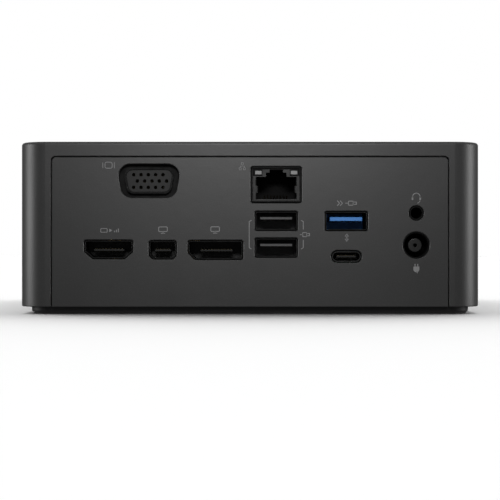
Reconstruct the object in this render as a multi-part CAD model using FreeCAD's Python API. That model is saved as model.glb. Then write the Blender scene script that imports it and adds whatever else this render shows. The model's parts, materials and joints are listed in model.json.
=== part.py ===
"""Desktop laptop docking station: a square-footprint box with ports on its rear and front.

Units are millimetres. +Z is up, and the origin is on the table under the centre of the box.
-Y is the rear, where the port panel is. +Y is the front, and +X is to the right of someone who faces
the rear panel. The script writes one STEP file per piece, or per group of like pieces, to parts/.
"""

import FreeCAD, Part
import math
import os

V = FreeCAD.Vector

# ---------------------------------------------------------------- overall size
WIDTH = 145.0  # X
DEPTH = 145.0  # Y
HEIGHT = 54.0  # from the table to the top face
CORNER_R = 8.5  # upright corners of the cover
WALL = 2.0  # side walls of the cover
TOP_WALL = 2.2
TOP_EDGE_R = 0.9
COVER_LIFT = 2.3  # the cover's lower edge stands this far above the table
SNUG = 0.1  # gap between faces that are nearly in touch
LOOSE = 0.3  # gap between mouldings that drop into each other

LEFT, RIGHT = -WIDTH / 2, WIDTH / 2
REAR, FRONT = -DEPTH / 2, DEPTH / 2
CEILING = HEIGHT - TOP_WALL  # underside of the top wall
INNER_REAR = REAR + WALL
INNER_FRONT = FRONT - WALL
INNER_LEFT = LEFT + WALL
INNER_RIGHT = RIGHT - WALL

# ---------------------------------------------------------------- base and feet
BASE_SET_BACK = 3.15  # the visible plinth stands this far inside the cover's faces
BASE_BOTTOM = 0.6
BASE_FLOOR = (2.5, 4.5)  # the floor plate of the base
FOOT_INSET = 0.65  # rubber ring from the plinth's outer face
FOOT_WIDTH = 4.9
FOOT_TOP = 1.6
PLINTH_WIDTH = FOOT_INSET + FOOT_WIDTH + 0.5

# ---------------------------------------------------------------- rear panel
PANEL_HALF_WIDTH = WIDTH / 2 - 10.5
PANEL_TOP = HEIGHT - 4.8
PANEL_SET_BACK = 0.1  # behind the cover's rear face
PANEL_CORNER_R = 1.3
PANEL_GAP = 0.3  # the dark line round the panel
PANEL_FLANGE = 1.6  # how far the flange reaches behind the cover's wall
PANEL_FLANGE_THICK = 1.2
PANEL_RIM = 1.0  # width of the neck between plate and flange
PANEL_TAB_X = PANEL_HALF_WIDTH - 12
PANEL_TAB = (10.0, 8.5, 2.0)  # width, reach and thickness of the tabs that screw to the base
PORT_BEVEL = 0.2
BRACKET_THICK = 0.3
BRACKET_INSET = PANEL_RIM + 0.15  # from the rear panel's edges
BRACKET_BOTTOM = 7.0

# ---------------------------------------------------------------- boards
BOARD_TOP = 16.4
BOARD_THICK = 1.6
BOARD_SIDE_MARGIN = 6.5  # from the cover's left and right faces
BOARD_END_MARGIN = 3.7  # from the cover's rear and front faces
SMALL_BOARD_THICK = 1.2
BOARD_SCREW_R = 1.05
BOARD_SCREW_X = WIDTH / 2 - 22.5
BOARD_SCREW_XY = [(-BOARD_SCREW_X, REAR + 30.5), (BOARD_SCREW_X, REAR + 30.5),
                  (-BOARD_SCREW_X, FRONT - 24.5), (BOARD_SCREW_X, FRONT - 24.5), (0, FRONT - 20.5)]
BOARD_POST_R = 3.0
CASE_SCREW_R = 1.5
CASE_POST_R = 3.2
CASE_POST_INSET = 12.5  # from the cover's side faces
CASE_POST_Y = (REAR + 18.5, FRONT - 14.5)
CASE_POST_X = (LEFT + CASE_POST_INSET, RIGHT - CASE_POST_INSET)

# ---------------------------------------------------------------- rear ports, centre as (x, z)
FACE_RECESS = 0.6  # port mouths behind the cover's face
DSUB_XZ = (-31.6, BOARD_TOP + 25.3)
AV_XZ = (-44.2, BOARD_TOP + 3.85)
SMALL_VIDEO_XZ = (-27.3, BOARD_TOP + 3.75)
FULL_VIDEO_XZ = (-10.8, BOARD_TOP + 3.7)
STACK_X = 8.2  # network socket over two USB-A sockets
LAN_Z = BOARD_TOP + 24.2
STACK_USB_Z = (BOARD_TOP + 12.8, BOARD_TOP + 4.4)
REAR_USB_XZ = (30.1, BOARD_TOP + 12.75)
USB_C_XZ = (30.15, BOARD_TOP + 1.65)
AUDIO_XZ = (52.0, BOARD_TOP + 15.25)
DC_XZ = (52.0, BOARD_TOP + 5.2)

# ---------------------------------------------------------------- front ports
FRONT_PORT_Z = BOARD_TOP + 3.8
FRONT_USB_X = (10.0, 28.0)
HEADSET_X = 45.0

# ---------------------------------------------------------------- power button
BUTTON_XY = (RIGHT - 28.5, FRONT - 28.5)
BUTTON_R = 6.0
BUTTON_GAP = 0.25
BUTTON_TRAVEL = 0.5
LIGHT_RING_WALL = 1.3
BUTTON_BOARD_DROP = 9.3  # underside of the button board below the ceiling
BUTTON_POST_REACH = BUTTON_R + 5.0  # from the button's axis to the posts that carry its board
BUTTON_POST_R = 2.6

# ---------------------------------------------------------------- fan and cooler
FAN_XY = (-8.0, 10.0)
FAN_Z = (BOARD_TOP + 7.6, BOARD_TOP + 18.6)
FAN_R = 30.0  # outer radius of the scroll
FAN_WALL = 1.2
FAN_PLATE = 0.9
FAN_OUTLET = FAN_R + 6  # from the shaft to the outlet's end
IMPELLER_R = FAN_R - 5
HUB_R = 11.0
BLADES = 23
SHAFT_R = 1.0
BEARING_GAP = 0.03
BEARING_R = 2.4
FIN_PITCH = 2.0
FIN_THICK = 0.5
PIPE_WIDTH = 8.0
PIPE_THICK = 3.0
COOLED_CHIP_XY = (30.0, -32.0)
COOLED_CHIP = (16.0, 1.6)  # side and height
COLD_PLATE = (24.0, 2.0)
THERMAL_PAD = 0.5
GRILLE_HALF_LENGTH = FAN_R - 1
GRILLE_Z = (FAN_Z[0] - 2, FAN_Z[1] + 1)

# ---------------------------------------------------------------- side fittings
GLAND_YZ = (REAR + 28.5, 24.0)
GLAND_R = 5.5
GLAND_STEP = 1.2  # the flange stands this far beyond the hole in the wall
CABLE_HOLE_R = 3.1
GLAND_LENGTH = 10.0
LOCK_YZ = (REAR + 30.5, 24.0)
LOCK_SLOT = (7.0, 3.0)

PLANES = {
    "xy": (lambda u, v, w: V(u, v, w), V(0, 0, 1)),
    "xz": (lambda u, v, w: V(u, w, v), V(0, 1, 0)),
    "yz": (lambda u, v, w: V(w, u, v), V(1, 0, 0)),
}


# ================================================================ shapes in general
def span(centre, size):
    return (centre - size / 2, centre + size / 2)


def block(x, y, z):
    """A box from its low and high limit along each axis."""
    return Part.makeBox(x[1] - x[0], y[1] - y[0], z[1] - z[0], V(x[0], y[0], z[0]))


def rod(radius, start, end):
    axis = end - start
    return Part.makeCylinder(radius, axis.Length, start, axis)


def post(radius, xy, z):
    return rod(radius, V(xy[0], xy[1], z[0]), V(xy[0], xy[1], z[1]))


def tube_post(outer, inner, xy, z):
    return post(outer, xy, z).cut(post(inner, xy, z))


def hexagon(across, xy, z):
    """An upright hexagonal bar, measured across its flats."""
    radius = across / math.sqrt(3)
    turns = [math.radians(60 * i) for i in range(6)]
    corners = [(xy[0] + radius * math.cos(a), xy[1] + radius * math.sin(a), 0) for a in turns]
    return prism(corners, "xy", *z)


def rect(u, v, width, height, r=0.0):
    """Corners of a rectangle, each as (u, v, corner radius)."""
    w, h = width / 2, height / 2
    return [(u - w, v - h, r), (u + w, v - h, r), (u + w, v + h, r), (u - w, v + h, r)]


def unit(a, b):
    length = math.hypot(b[0] - a[0], b[1] - a[1])
    return ((b[0] - a[0]) / length, (b[1] - a[1]) / length)


def grown(corners, by):
    """The same convex outline, anticlockwise, with every side moved out by a distance."""
    moved = []
    for i, (u, v, r) in enumerate(corners):
        a, b = unit(corners[i - 1], (u, v)), unit((u, v), corners[(i + 1) % len(corners)])
        share = by / (1 + a[0] * b[0] + a[1] * b[1])
        moved.append((u + share * (a[1] + b[1]), v - share * (a[0] + b[0]), max(r + by, 0.0) if r else 0.0))
    return moved


def rounded_wire(corners, place):
    """A closed wire through the corners, each rounded by its own radius."""
    turns = []
    for i, (u, v, r) in enumerate(corners):
        back = unit((u, v), corners[i - 1])
        on = unit((u, v), corners[(i + 1) % len(corners)])
        half = math.acos(max(-1.0, min(1.0, back[0] * on[0] + back[1] * on[1]))) / 2
        reach = r / math.tan(half)
        middle = unit((0, 0), (back[0] + on[0], back[1] + on[1]))
        deep = r / math.sin(half) - r
        turns.append([
            (u + back[0] * reach, v + back[1] * reach),
            (u + middle[0] * deep, v + middle[1] * deep),
            (u + on[0] * reach, v + on[1] * reach),
        ])
    edges = []
    for i, (start, middle, end) in enumerate(turns):
        if corners[i][2] > 0:
            edges.append(Part.Arc(place(*start), place(*middle), place(*end)).toShape())
        following = turns[(i + 1) % len(turns)][0]
        if math.dist(end, following) > 1e-6:
            edges.append(Part.LineSegment(place(*end), place(*following)).toShape())
    return Part.Wire(edges)


def prism(corners, plane, low, high):
    place, direction = PLANES[plane]
    wire = rounded_wire(corners, lambda u, v: place(u, v, low))
    return Part.Face(wire).extrude(direction * (high - low))


def tube(corners, wall, plane, low, high):
    return prism(corners, plane, low, high).cut(prism(grown(corners, -wall), plane, low, high))


def bent_strip(points, thickness, bend, plane, low, high):
    """A sheet of even thickness that follows the points, with a tangent bend at each inner one."""
    place, direction = PLANES[plane]

    def side(offset):
        start, first = points[0], unit(points[0], points[1])
        at = (start[0] - first[1] * offset, start[1] + first[0] * offset)
        edges = []
        for a, b, c in zip(points, points[1:], points[2:]):
            p, q = unit(a, b), unit(b, c)
            turn = math.atan2(p[0] * q[1] - p[1] * q[0], p[0] * q[0] + p[1] * q[1])
            sign = math.copysign(1, turn)
            reach = bend * math.tan(abs(turn) / 2)
            centre = (b[0] - p[0] * reach - p[1] * bend * sign, b[1] - p[1] * reach + p[0] * bend * sign)
            radius = bend - sign * offset
            towards = unit(centre, b)
            bend_start = (b[0] - p[0] * reach - p[1] * offset, b[1] - p[1] * reach + p[0] * offset)
            bend_middle = (centre[0] + towards[0] * radius, centre[1] + towards[1] * radius)
            bend_end = (b[0] + q[0] * reach - q[1] * offset, b[1] + q[1] * reach + q[0] * offset)
            if math.dist(at, bend_start) > 1e-6:
                edges.append(Part.LineSegment(place(*at, low), place(*bend_start, low)).toShape())
            stops = [place(*spot, low) for spot in (bend_start, bend_middle, bend_end)]
            edges.append(Part.Arc(*stops).toShape())
            at = bend_end
        last, end = unit(points[-2], points[-1]), points[-1]
        finish = (end[0] - last[1] * offset, end[1] + last[0] * offset)
        edges.append(Part.LineSegment(place(*at, low), place(*finish, low)).toShape())
        return edges, (start[0] - first[1] * offset, start[1] + first[0] * offset), finish

    left, left_start, left_end = side(thickness / 2)
    right, right_start, right_end = side(-thickness / 2)
    caps = [Part.LineSegment(place(*left_end, low), place(*right_end, low)).toShape(),
            Part.LineSegment(place(*left_start, low), place(*right_start, low)).toShape()]
    wire = Part.Wire(Part.sortEdges(left + right + caps)[0])
    return Part.Face(wire).extrude(direction * (high - low))


def fused(shapes):
    return shapes[0].multiFuse(shapes[1:]).removeSplitter() if len(shapes) > 1 else shapes[0]


def edges_at(shape, axis, value):
    """The edges that lie wholly in the plane where one coordinate has a value."""
    def lies(edge):
        limits = (getattr(edge.BoundBox, axis.upper() + end) for end in ("Min", "Max"))
        return all(abs(limit - value) < 1e-4 for limit in limits)

    return [e for e in shape.Edges if lies(e)]


def screw(xy, seat_z, length, shank_r, head_r, head_height, up=False):
    """A cross-head screw whose head rests on seat_z. Its shank points down, or up."""
    way = 1 if up else -1
    head = rod(head_r, V(*xy, seat_z), V(*xy, seat_z - way * head_height))
    rim = edges_at(head, "z", seat_z - way * head_height)
    head = head.makeFillet(head_height * 0.35, rim)
    body = head.fuse(rod(shank_r, V(*xy, seat_z), V(*xy, seat_z + way * length)))
    slot_z = sorted((seat_z - way * head_height, seat_z - way * head_height * 0.45))
    for size in ((head_r * 1.1, head_r * 0.3), (head_r * 0.3, head_r * 1.1)):
        body = body.cut(block(span(xy[0], size[0]), span(xy[1], size[1]), slot_z))
    return body


def placed(shape, x, z, front=False):
    """Moves a port built with its mouth at y = 0, facing -Y, to the rear panel or to the front wall."""
    shape = shape.copy()
    if front:
        shape.rotate(V(0, 0, 0), V(0, 0, 1), 180)
    shape.translate(V(x, FRONT - FACE_RECESS if front else REAR + FACE_RECESS, z))
    return shape


# ================================================================ port outlines, round their own centre
DSUB_WIDTH = 16.3  # of the shell, along its wide side


def dsub_outline(wide=DSUB_WIDTH):
    """The D shape, wide side up, with sides that lean in by 10 degrees."""
    height, r = 7.9, 2.4
    lean = height * math.tan(math.radians(10))
    return [(-wide / 2 + lean, -height / 2, r), (wide / 2 - lean, -height / 2, r),
            (wide / 2, height / 2, r), (-wide / 2, height / 2, r)]


def av_outline():
    """Wide video socket: both lower corners are cut off."""
    wide, height, cut_x, cut_z, r = 15.0, 5.55, 2.55, 2.25, 0.5
    w, h = wide / 2, height / 2
    return [(-w + cut_x, -h, r), (w - cut_x, -h, r), (w, -h + cut_z, r),
            (w, h, r), (-w, h, r), (-w, -h + cut_z, r)]


def small_video_outline():
    """Small video socket: small lower corners cut off."""
    wide, height, cut, r = 8.4, 5.5, 1.1, 0.4
    w, h = wide / 2, height / 2
    return [(-w + cut, -h, r), (w - cut, -h, r), (w, -h + cut, r),
            (w, h, 2 * r), (-w, h, 2 * r), (-w, -h + cut, r)]


def full_video_outline():
    """Full-size video socket: one lower corner is cut off."""
    wide, height, cut, r = 17.0, 5.7, 2.1, 0.6
    w, h = wide / 2, height / 2
    return [(-w + cut, -h, r), (w, -h, 0.7), (w, h, r), (-w, h, r), (-w, -h + cut, r)]


USB_A_OUTER = (13.1, 5.75)
USB_C_OUTER = (8.94, 3.2)
SHELL_WALL = 0.3
LAN_SNOUT = (15.3, 11.0)
LAN_CORNER = 0.9
PORT_GAP = 0.25  # between a port's shell and the edge of its cut-out
DSUB_GAP = 1.35  # room for the shell of a plug round the D-sub socket
DSUB_SIDE_ROOM = 1.0  # more room in the width
AUDIO_HOLE_R = 2.35
DC_HOLE_R = 4.2
DC_BORE_R = 3.8
DC_POST_R = 2.35
DC_POST_RECESS = 3.2  # the post's tip behind the mouth


def usb_a_outline():
    return rect(0, 0, *USB_A_OUTER, 0.5)


def usb_c_outline():
    return rect(0, 0, *USB_C_OUTER, USB_C_OUTER[1] / 2 - 0.01)


def shifted(corners, u, v):
    return [(a + u, b + v, r) for a, b, r in corners]


def rear_cut_outs(extra=0.0):
    """Outlines of the openings that the rear panel and its bracket leave for the ports."""
    gap = PORT_GAP + extra
    return [
        shifted(grown(dsub_outline(DSUB_WIDTH + DSUB_SIDE_ROOM), DSUB_GAP + extra), *DSUB_XZ),
        shifted(grown(av_outline(), gap), *AV_XZ),
        shifted(grown(small_video_outline(), gap), *SMALL_VIDEO_XZ),
        shifted(grown(full_video_outline(), gap), *FULL_VIDEO_XZ),
        rect(STACK_X, LAN_Z - 0.1, LAN_SNOUT[0] + 2 * gap + 0.3, LAN_SNOUT[1] + 2 * gap, LAN_CORNER),
        shifted(grown(usb_a_outline(), gap), STACK_X, STACK_USB_Z[0]),
        shifted(grown(usb_a_outline(), gap), STACK_X, STACK_USB_Z[1]),
        shifted(grown(usb_a_outline(), gap), *REAR_USB_XZ),
        shifted(grown(usb_c_outline(), gap + 0.1), *USB_C_XZ),
    ]


def rear_round_holes():
    return [(AUDIO_XZ, AUDIO_HOLE_R), (DC_XZ, DC_HOLE_R)]


# ================================================================ enclosure
def case_posts():
    return [(x, y) for x in CASE_POST_X for y in CASE_POST_Y]


def button_posts():
    x, y = BUTTON_XY
    return [(x - BUTTON_POST_REACH, y), (x + BUTTON_POST_REACH, y)]


def grille_outline(by=0.0):
    y, z = FAN_XY[1], sum(GRILLE_Z) / 2
    return grown(rect(y, z, 2 * GRILLE_HALF_LENGTH, GRILLE_Z[1] - GRILLE_Z[0], 2.0), by)


def panel_outline(by=0.0):
    """Outline of the rear panel. Its lower edge is level with the cover's."""
    w, r = PANEL_HALF_WIDTH + by, PANEL_CORNER_R + max(by, 0)
    return [(-w, COVER_LIFT, 0), (w, COVER_LIFT, 0), (w, PANEL_TOP + by, r), (-w, PANEL_TOP + by, r)]


def top_cover():
    outer = prism(rect(0, 0, WIDTH, DEPTH, CORNER_R), "xy", COVER_LIFT, HEIGHT)
    outer = outer.makeFillet(TOP_EDGE_R, edges_at(outer, "z", HEIGHT))
    outer = outer.makeChamfer(0.25, edges_at(outer, "z", COVER_LIFT))
    inside = rect(0, 0, WIDTH - 2 * WALL, DEPTH - 2 * WALL, CORNER_R - WALL)
    cover = outer.cut(prism(inside, "xy", COVER_LIFT - 1, CEILING))

    opening = [(u, v if v > COVER_LIFT else v - 2, r) for u, v, r in panel_outline(PANEL_GAP)]
    mouth = prism(opening, "xz", REAR - 1, INNER_REAR + 0.5)
    mouth_bevel = [(u, v if v > COVER_LIFT else v - 2, r) for u, v, r in panel_outline(PANEL_GAP + 0.08)]
    cover = cover.cut(mouth).cut(prism(mouth_bevel, "xz", REAR - 1, REAR + 0.08))

    for side in (span(LEFT, 2.5 * WALL), span(RIGHT, 2.5 * WALL)):
        cover = cover.cut(prism(grille_outline(0.15), "yz", *side))
    cover = cover.cut(rod(GLAND_R - GLAND_STEP, V(LEFT - 1, *GLAND_YZ), V(INNER_LEFT + 1, *GLAND_YZ)))
    lock = rect(*LOCK_YZ, LOCK_SLOT[0] + 1.0, LOCK_SLOT[1] + 1.0, 0.8)
    cover = cover.cut(prism(lock, "yz", INNER_RIGHT - 1, RIGHT + 1))

    for x in FRONT_USB_X:
        hole = shifted(grown(usb_a_outline(), PORT_GAP), x, FRONT_PORT_Z)
        cover = cover.cut(prism(hole, "xz", INNER_FRONT - 1, FRONT + 1))
    headset = V(HEADSET_X, INNER_FRONT - 1, FRONT_PORT_Z)
    cover = cover.cut(rod(AUDIO_HOLE_R, headset, headset + V(0, WALL + 2, 0)))
    front_rims = [e for e in edges_at(cover, "y", FRONT) if e.BoundBox.ZMax < FRONT_PORT_Z + 5
                  and e.BoundBox.ZMin > FRONT_PORT_Z - 5]
    cover = cover.makeChamfer(PORT_BEVEL, front_rims)

    cover = cover.cut(post(BUTTON_R + BUTTON_GAP + LIGHT_RING_WALL, BUTTON_XY, (CEILING - 1, HEIGHT + 1)))
    posts = []
    for x, y in case_posts():
        wall_x = INNER_LEFT if x < 0 else INNER_RIGHT
        low = BASE_FLOOR[1] + 1.6
        posts.append(post(CASE_POST_R, (x, y), (low, CEILING + 0.5)))
        rib_x = sorted((x, wall_x + math.copysign(0.5, wall_x)))
        posts.append(block(rib_x, span(y, 1.2), (BOARD_TOP + LOOSE, CEILING + 0.5)))
    button_board_top = CEILING - BUTTON_BOARD_DROP + SMALL_BOARD_THICK
    for xy in button_posts():
        posts.append(post(BUTTON_POST_R, xy, (button_board_top, CEILING + 0.5)))
    cover = fused([cover] + posts)
    for xy in case_posts():
        cover = cover.cut(post(CASE_SCREW_R, xy, (BASE_FLOOR[1], BASE_FLOOR[1] + 14)))
    for xy in button_posts():
        cover = cover.cut(post(BOARD_SCREW_R, xy, (button_board_top - 1, button_board_top + 5)))
    return cover


def rear_panel():
    face = REAR + PANEL_SET_BACK
    plate = prism(panel_outline(), "xz", face, INNER_REAR)
    for hole in rear_cut_outs():
        plate = plate.cut(prism(hole, "xz", REAR - 1, INNER_REAR + 1))
    for (x, z), r in rear_round_holes():
        plate = plate.cut(rod(r, V(x, REAR - 1, z), V(x, INNER_REAR + 1, z)))
    plate = plate.makeChamfer(PORT_BEVEL, edges_at(plate, "y", face))

    flange_low = BASE_FLOOR[1] + 0.2
    flange_y = (INNER_REAR + SNUG, INNER_REAR + SNUG + PANEL_FLANGE_THICK)
    ring = prism(panel_outline(PANEL_FLANGE), "xz", *flange_y)
    neck = prism(panel_outline(), "xz", INNER_REAR, flange_y[0])
    rim = fused([ring, neck]).cut(prism(panel_outline(-PANEL_RIM), "xz", INNER_REAR - 1, flange_y[1] + 1))
    rim = rim.cut(block((LEFT, RIGHT), (REAR, 0), (0, flange_low)))

    tabs = []
    width, reach, thick = PANEL_TAB
    for x in (-PANEL_TAB_X, PANEL_TAB_X):
        z = (flange_low, flange_low + thick)
        tabs.append(block(span(x, width), (INNER_REAR - 0.5, INNER_REAR + reach), z))
    panel = fused([plate, rim] + tabs)
    for xy in panel_screw_xy():
        panel = panel.cut(post(BOARD_SCREW_R + 0.2, xy, (flange_low - 1, flange_low + thick + 1)))
    return panel


def panel_screw_xy():
    return [(-PANEL_TAB_X, INNER_REAR + 5.5), (PANEL_TAB_X, INNER_REAR + 5.5)]


def io_bracket():
    """Thin spring-steel shield between the rear panel and the ports, bent in at its foot."""
    y = (INNER_REAR + SNUG, INNER_REAR + SNUG + BRACKET_THICK)
    foot_z = BASE_FLOOR[1] + 0.2 + PANEL_TAB[2]
    top, half_width = PANEL_TOP - BRACKET_INSET, PANEL_HALF_WIDTH - BRACKET_INSET
    outline = rect(0, (top + BRACKET_BOTTOM) / 2, 2 * half_width, top - BRACKET_BOTTOM, 1.0)
    plate = prism(outline, "xz", *y)
    for hole in rear_cut_outs(0.15):
        plate = plate.cut(prism(hole, "xz", y[0] - 1, y[1] + 1))
    can_z = (BOARD_TOP + STACK_TOP) / 2
    can = rect(STACK_X, can_z, STACK_WIDTH + 0.6, STACK_TOP - BOARD_TOP + 0.6)
    plate = plate.cut(prism(can, "xz", y[0] - 1, y[1] + 1))
    for (x, z), r in rear_round_holes():
        plate = plate.cut(rod(r + 0.15, V(x, y[0] - 1, z), V(x, y[1] + 1, z)))
    feet = []
    for x, screw_y in panel_screw_xy():
        middle_y, middle_z = y[0] + BRACKET_THICK / 2, foot_z + BRACKET_THICK / 2
        path = [(middle_y, BRACKET_BOTTOM + 3), (middle_y, middle_z), (INNER_REAR + PANEL_TAB[1], middle_z)]
        foot = bent_strip(path, BRACKET_THICK, 0.4, "yz", *span(x, PANEL_TAB[0] - 1))
        feet.append(foot.cut(post(BOARD_SCREW_R + 0.2, (x, screw_y), (foot_z - 1, foot_z + 1))))
    return fused([plate] + feet)


def base_plate():
    set_back = rect(0, 0, WIDTH - 2 * BASE_SET_BACK, DEPTH - 2 * BASE_SET_BACK, CORNER_R - BASE_SET_BACK)
    plinth = prism(set_back, "xy", BASE_BOTTOM, BASE_FLOOR[0])
    plinth = plinth.makeFillet(0.5, edges_at(plinth, "z", BASE_BOTTOM))
    plinth = plinth.cut(prism(grown(set_back, -PLINTH_WIDTH), "xy", 0, BASE_FLOOR[0]))
    inside = rect(0, 0, WIDTH - 2 * (WALL + LOOSE), DEPTH - 2 * (WALL + LOOSE), CORNER_R - WALL - LOOSE)
    floor = prism(inside, "xy", *BASE_FLOOR)
    raised = [post(CASE_POST_R + 1.2, xy, (BASE_FLOOR[1] - 0.5, BASE_FLOOR[1] + 1.5)) for xy in case_posts()]
    post_z = (BASE_FLOOR[1] - 0.5, BOARD_TOP - BOARD_THICK)
    board_posts = [post(BOARD_POST_R, xy, post_z) for xy in BOARD_SCREW_XY]
    base = fused([plinth, floor] + raised + board_posts)
    groove = foot_outline(0.05)
    groove_outer, groove_inner = (prism(outline, "xy", 0, FOOT_TOP + 0.05) for outline in groove)
    base = base.cut(groove_outer.cut(groove_inner))
    for xy in case_posts():
        base = base.cut(post(CASE_SCREW_R + 0.2, xy, (0, BASE_FLOOR[1] + 3)))
    for xy in BOARD_SCREW_XY:
        base = base.cut(post(BOARD_SCREW_R, xy, (BOARD_TOP - BOARD_THICK - 6.5, BOARD_TOP)))
    for xy in panel_screw_xy():
        base = base.cut(post(BOARD_SCREW_R, xy, (FOOT_TOP + 0.4, BASE_FLOOR[1] + 1)))
    return base


def foot_outline(clear=0.0):
    """Outer and inner outline of the rubber ring under the base."""
    inset = BASE_SET_BACK + FOOT_INSET
    outer = rect(0, 0, WIDTH - 2 * inset, DEPTH - 2 * inset, CORNER_R - inset)
    return grown(outer, clear), grown(outer, -FOOT_WIDTH - clear)


def foot_ring():
    outer, inner = foot_outline()
    ring = prism(outer, "xy", 0, FOOT_TOP)
    ring = ring.makeFillet(0.3, edges_at(ring, "z", 0))
    return ring.cut(prism(inner, "xy", -1, FOOT_TOP + 1))


def side_grille(left):
    """Slotted insert that fills the opening in a side wall, held by a flange behind the wall."""
    wall, way = (LEFT, 1) if left else (RIGHT, -1)
    inner = wall + way * WALL
    plate = prism(grille_outline(), "yz", *sorted((wall, inner + way * SNUG)))
    flange = prism(grille_outline(1.5), "yz", *sorted((inner + way * SNUG, inner + way * (SNUG + 1.0))))
    grille = fused([plate, flange])
    z, slot_pitch, slot_width = sum(GRILLE_Z) / 2, 3.2, 1.7
    count = int((2 * GRILLE_HALF_LENGTH - 4) / slot_pitch)
    first = FAN_XY[1] - (count - 1) * slot_pitch / 2
    slot_height = GRILLE_Z[1] - GRILLE_Z[0] - 3.4
    slots = [prism(rect(first + i * slot_pitch, z, slot_width, slot_height, slot_width / 2 - 0.01), "yz",
                   *sorted((wall - way, inner + way * 3))) for i in range(count)]
    return grille.cut(Part.Compound(slots))


def case_screws():
    head_seat = BASE_FLOOR[0]
    return [screw(xy, head_seat, 13.0, CASE_SCREW_R, 2.8, 1.7, up=True) for xy in case_posts()]


def host_cable_gland():
    """Rubber bush that holds the host cable where it passes the left wall."""
    behind = INNER_LEFT + SNUG
    at = lambda x: V(x, *GLAND_YZ)
    nose = rod(GLAND_R - GLAND_STEP - SNUG, at(LEFT + 0.2), at(behind))
    nose = nose.makeFillet(0.4, edges_at(nose, "x", LEFT + 0.2))
    bush = fused([nose, rod(GLAND_R, at(behind), at(behind + 3)),
                  rod(GLAND_R - GLAND_STEP, at(behind), at(behind + GLAND_LENGTH))])
    return bush.cut(rod(CABLE_HOLE_R, at(LEFT - 1), at(behind + GLAND_LENGTH + 1)))


def lock_plate():
    """Steel plate behind the right wall, whose slot takes a cable lock."""
    x = (INNER_RIGHT - SNUG - 1.5, INNER_RIGHT - SNUG)
    plate = prism(rect(*LOCK_YZ, 16, 12, 1.0), "yz", *x)
    return plate.cut(prism(rect(*LOCK_YZ, *LOCK_SLOT, 0.7), "yz", x[0] - 1, x[1] + 1))


# ================================================================ ports
def port_shell(outline, depth, drop, wall=SHELL_WALL):
    """A folded metal shell with its mouth at y = 0, and four legs that reach the board."""
    shell = tube(outline, wall, "xz", 0, depth)
    half = max(u for u, _, _ in outline)
    legs = []
    for side in (-1, 1):
        for y in (4.0, depth - 3.0):
            x = sorted((side * (half - wall), side * half))
            legs.append(block(x, span(y, 1.8), (-drop, 0.4)))
    return fused([shell] + legs)


def port_tongue(outline, depth, width, thickness, chamfer, offset=(0, 0), recess=1.0, wall=SHELL_WALL):
    """The insulator: a block that closes the shell's back end, and the tongue that carries the contacts."""
    back = prism(grown(outline, -wall), "xz", depth - 3, depth - 0.2)
    tongue = block(span(offset[0], width), (recess, depth - 3), span(offset[1], thickness))
    tongue = tongue.makeChamfer(chamfer, edges_at(tongue, "y", recess))
    return fused([back, tongue])


def port_contacts(depth, count, pitch, width, thickness, offset=(0, 0), recess=1.0, sides=(1, -1)):
    """Flat contacts on the faces of a tongue."""
    foil = 0.12
    strips = []
    for side in sides:
        z = offset[1] + side * thickness / 2
        for i in range(count):
            x = offset[0] + (i - (count - 1) / 2) * pitch
            strips.append(block(span(x, width), (recess + 0.6, depth - 3), sorted((z, z + side * foil))))
    return strips


AV_DEPTH, SMALL_VIDEO_DEPTH, FULL_VIDEO_DEPTH, USB_A_DEPTH, USB_C_DEPTH = 12.0, 10.5, 13.0, 17.0, 10.5
AV_TONGUE = dict(width=9.6, thickness=0.6, chamfer=0.1, offset=(0, -0.15), recess=1.0)
SMALL_VIDEO_TONGUE = dict(width=5.2, thickness=0.6, chamfer=0.1, offset=(0, -0.15), recess=1.0)
FULL_VIDEO_TONGUE = dict(width=10.2, thickness=0.6, chamfer=0.1, offset=(0.3, -0.15), recess=3.6)
USB_A_TONGUE = dict(width=10.1, thickness=1.2, chamfer=0.1, offset=(0, 0.65))
STACK_TONGUE = dict(width=10.1, thickness=0.8, chamfer=0.1, offset=(0, 0.85))
USB_C_TONGUE = dict(width=6.2, thickness=0.6, chamfer=0.08)


DSUB_CONTACT_DEPTH = 3.6  # the contacts' ends behind the shell's mouth


def dsub_pieces():
    """15-way D-sub socket: shell with its flange, insulator, and one contact tube in each hole."""
    flange_y = INNER_REAR + SNUG + BRACKET_THICK + SNUG - (REAR + FACE_RECESS)
    rise = DSUB_XZ[1] - DSUB_BOARD_TOP
    outline = dsub_outline()
    shell = tube(outline, 0.4, "xz", 0.2, flange_y + 0.8)
    flange = prism(rect(0, 0, 30.8, 2 * rise, 1.5), "xz", flange_y, flange_y + 0.8)
    shell = fused([shell, flange]).cut(prism(grown(outline, -0.4), "xz", 0, flange_y + 2))
    front = prism(grown(outline, -0.4), "xz", 0.5, flange_y + 0.8)
    front = front.makeFillet(0.25, edges_at(front, "y", 0.5))
    rear = block(span(0, 30.0), (flange_y + 0.8, flange_y + 9), (-rise, rise - 0.3))
    insulator = fused([front, rear])
    pitch, row_pitch, hole_r, hole_depth = 2.29, 1.98, 0.55, 6.0
    holes, contacts = [], []
    for row, shift in ((1, -0.25), (0, -0.25 + pitch / 2), (-1, -0.25)):
        for column in range(-2, 3):
            x, z = shift + column * pitch, row * row_pitch
            holes.append(rod(hole_r, V(x, 0, z), V(x, 0.5 + hole_depth, z)))
            sleeve = rod(hole_r, V(x, DSUB_CONTACT_DEPTH, z), V(x, 0.5 + hole_depth, z))
            contacts.append(sleeve.cut(rod(0.38, V(x, 1, z), V(x, 6.0, z))))
    insulator = insulator.cut(Part.Compound(holes))
    move = lambda s: placed(s, *DSUB_XZ)
    return {"dsub_shell": [move(shell)], "dsub_insulator": [move(insulator)],
            "dsub_contacts": [move(c) for c in contacts]}


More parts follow.
